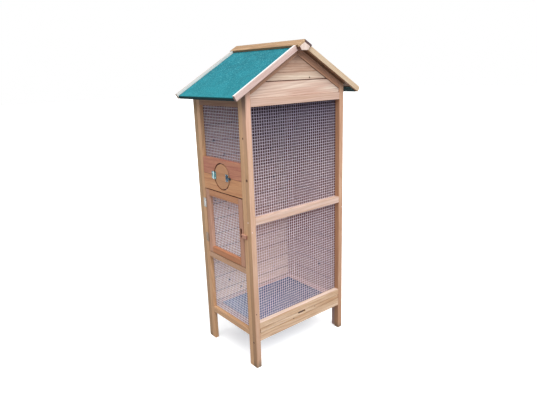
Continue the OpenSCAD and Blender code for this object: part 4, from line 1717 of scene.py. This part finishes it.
@dataclass
class Studio:
    """A pale floor, soft light and the camera."""

    eye: Point = (-1.6155, -1.9977, 1.5212)
    turn: Point = (74.153, 1.944, -38.955)
    lens: float = 31.83
    sensor: float = 36.0
    floor_size: float = 60.0
    fill: float = 0.35
    floor_shade: str = "#E4E4E2"
    glow: float = 0.42
    suns: tuple[tuple[str, Point, float, float], ...] = (
        ("overhead", (20.0, 0.0, -25.0), 110.0, 3.4),
        ("front", (42.0, 0.0, -4.0), 40.0, 2.2),
    )

    def place(self, name: str, data: bpy.types.ID, turn: Point) -> Object:
        """Hangs a lamp or a camera.

        Args:
            name: Its name.
            data: The lamp or the camera.
            turn: Its turns about the axes, in degrees.

        Returns:
            The object that holds it.
        """
        holder = bpy.data.objects.new(name, data)
        holder.rotation_euler = Euler([math.radians(a) for a in turn], "XYZ")
        bpy.context.scene.collection.objects.link(holder)
        return holder

    def floor(self) -> None:
        """Lays the floor, which isn't part of the object."""
        bpy.ops.mesh.primitive_plane_add(size=self.floor_size)
        floor = bpy.context.object
        floor.name = "studio_floor"
        # A little glow keeps the object's shadow on it light
        look = {"Base_Color": linear(self.floor_shade), "Emission_Color": linear("#FFFFFF")}
        material, _, _ = blank("studio_floor_pale", Roughness=0.9, Emission_Strength=self.glow, **look)
        floor.data.materials.append(material)
        # Its bounce would light the feet and the eaves from below, as no lawn does
        floor.visible_diffuse = False

    def lamps(self) -> None:
        """Lights the piece from a soft bright sky overhead, against a white surround."""
        world = bpy.data.worlds.new("studio")
        world.use_nodes = True
        tree = world.node_tree
        dim = tree.nodes["Background"]
        dim.inputs["Color"].default_value = linear("#F4F6FF")
        dim.inputs["Strength"].default_value = self.fill
        # The surround is seen white, but lights the object only as much as the fill
        white = add(tree, "Background", {"Color": linear("#FFFFFF"), "Strength": 1.0})
        seen = add(tree, "LightPath").outputs["Is Camera Ray"]
        both = add(tree, "MixShader", {0: seen, 1: dim.outputs[0], 2: white.outputs[0]})
        tree.links.new(both.outputs[0], tree.nodes["World Output"].inputs["Surface"])
        bpy.context.scene.world = world
        for name, turn, angle, power in self.suns:
            lamp = bpy.data.lights.new(name, "SUN")
            lamp.angle = math.radians(angle)
            lamp.energy = power
            self.place(name, lamp, turn)

    def camera(self) -> None:
        """Sets up the camera."""
        data = bpy.data.cameras.new("camera")
        data.lens = self.lens
        data.sensor_width = self.sensor
        holder = self.place("camera", data, self.turn)
        holder.location = self.eye
        bpy.context.scene.camera = holder
        bpy.context.scene.view_settings.view_transform = "Standard"

    def build(self) -> None:
        """Builds the studio."""
        self.floor()
        self.lamps()
        self.camera()


def main() -> None:
    """Builds the aviary's pieces in order."""
    logging.basicConfig(level=logging.INFO, format="%(name)s: %(message)s")
    Studio().build()
    TimberFrame().build()
    BoardedWalls().build()
    Roof().build()
    WeldedMesh(node="mesh_front_upper").build()
    WeldedMesh(node="mesh_front_lower").build()
    # The upright wires of the top side panel get the dull painted shade
    WeldedMesh(node="mesh_left_upper", skins=(SHADED_WIRE, SIDE_WIRE)).build()
    WeldedMesh(node="mesh_left_lower", skins=(SIDE_WIRE, SIDE_WIRE)).build()
    Hatch().build()
    Door().build()
    TrayBay().build()


if __name__ == "__main__":
    main()
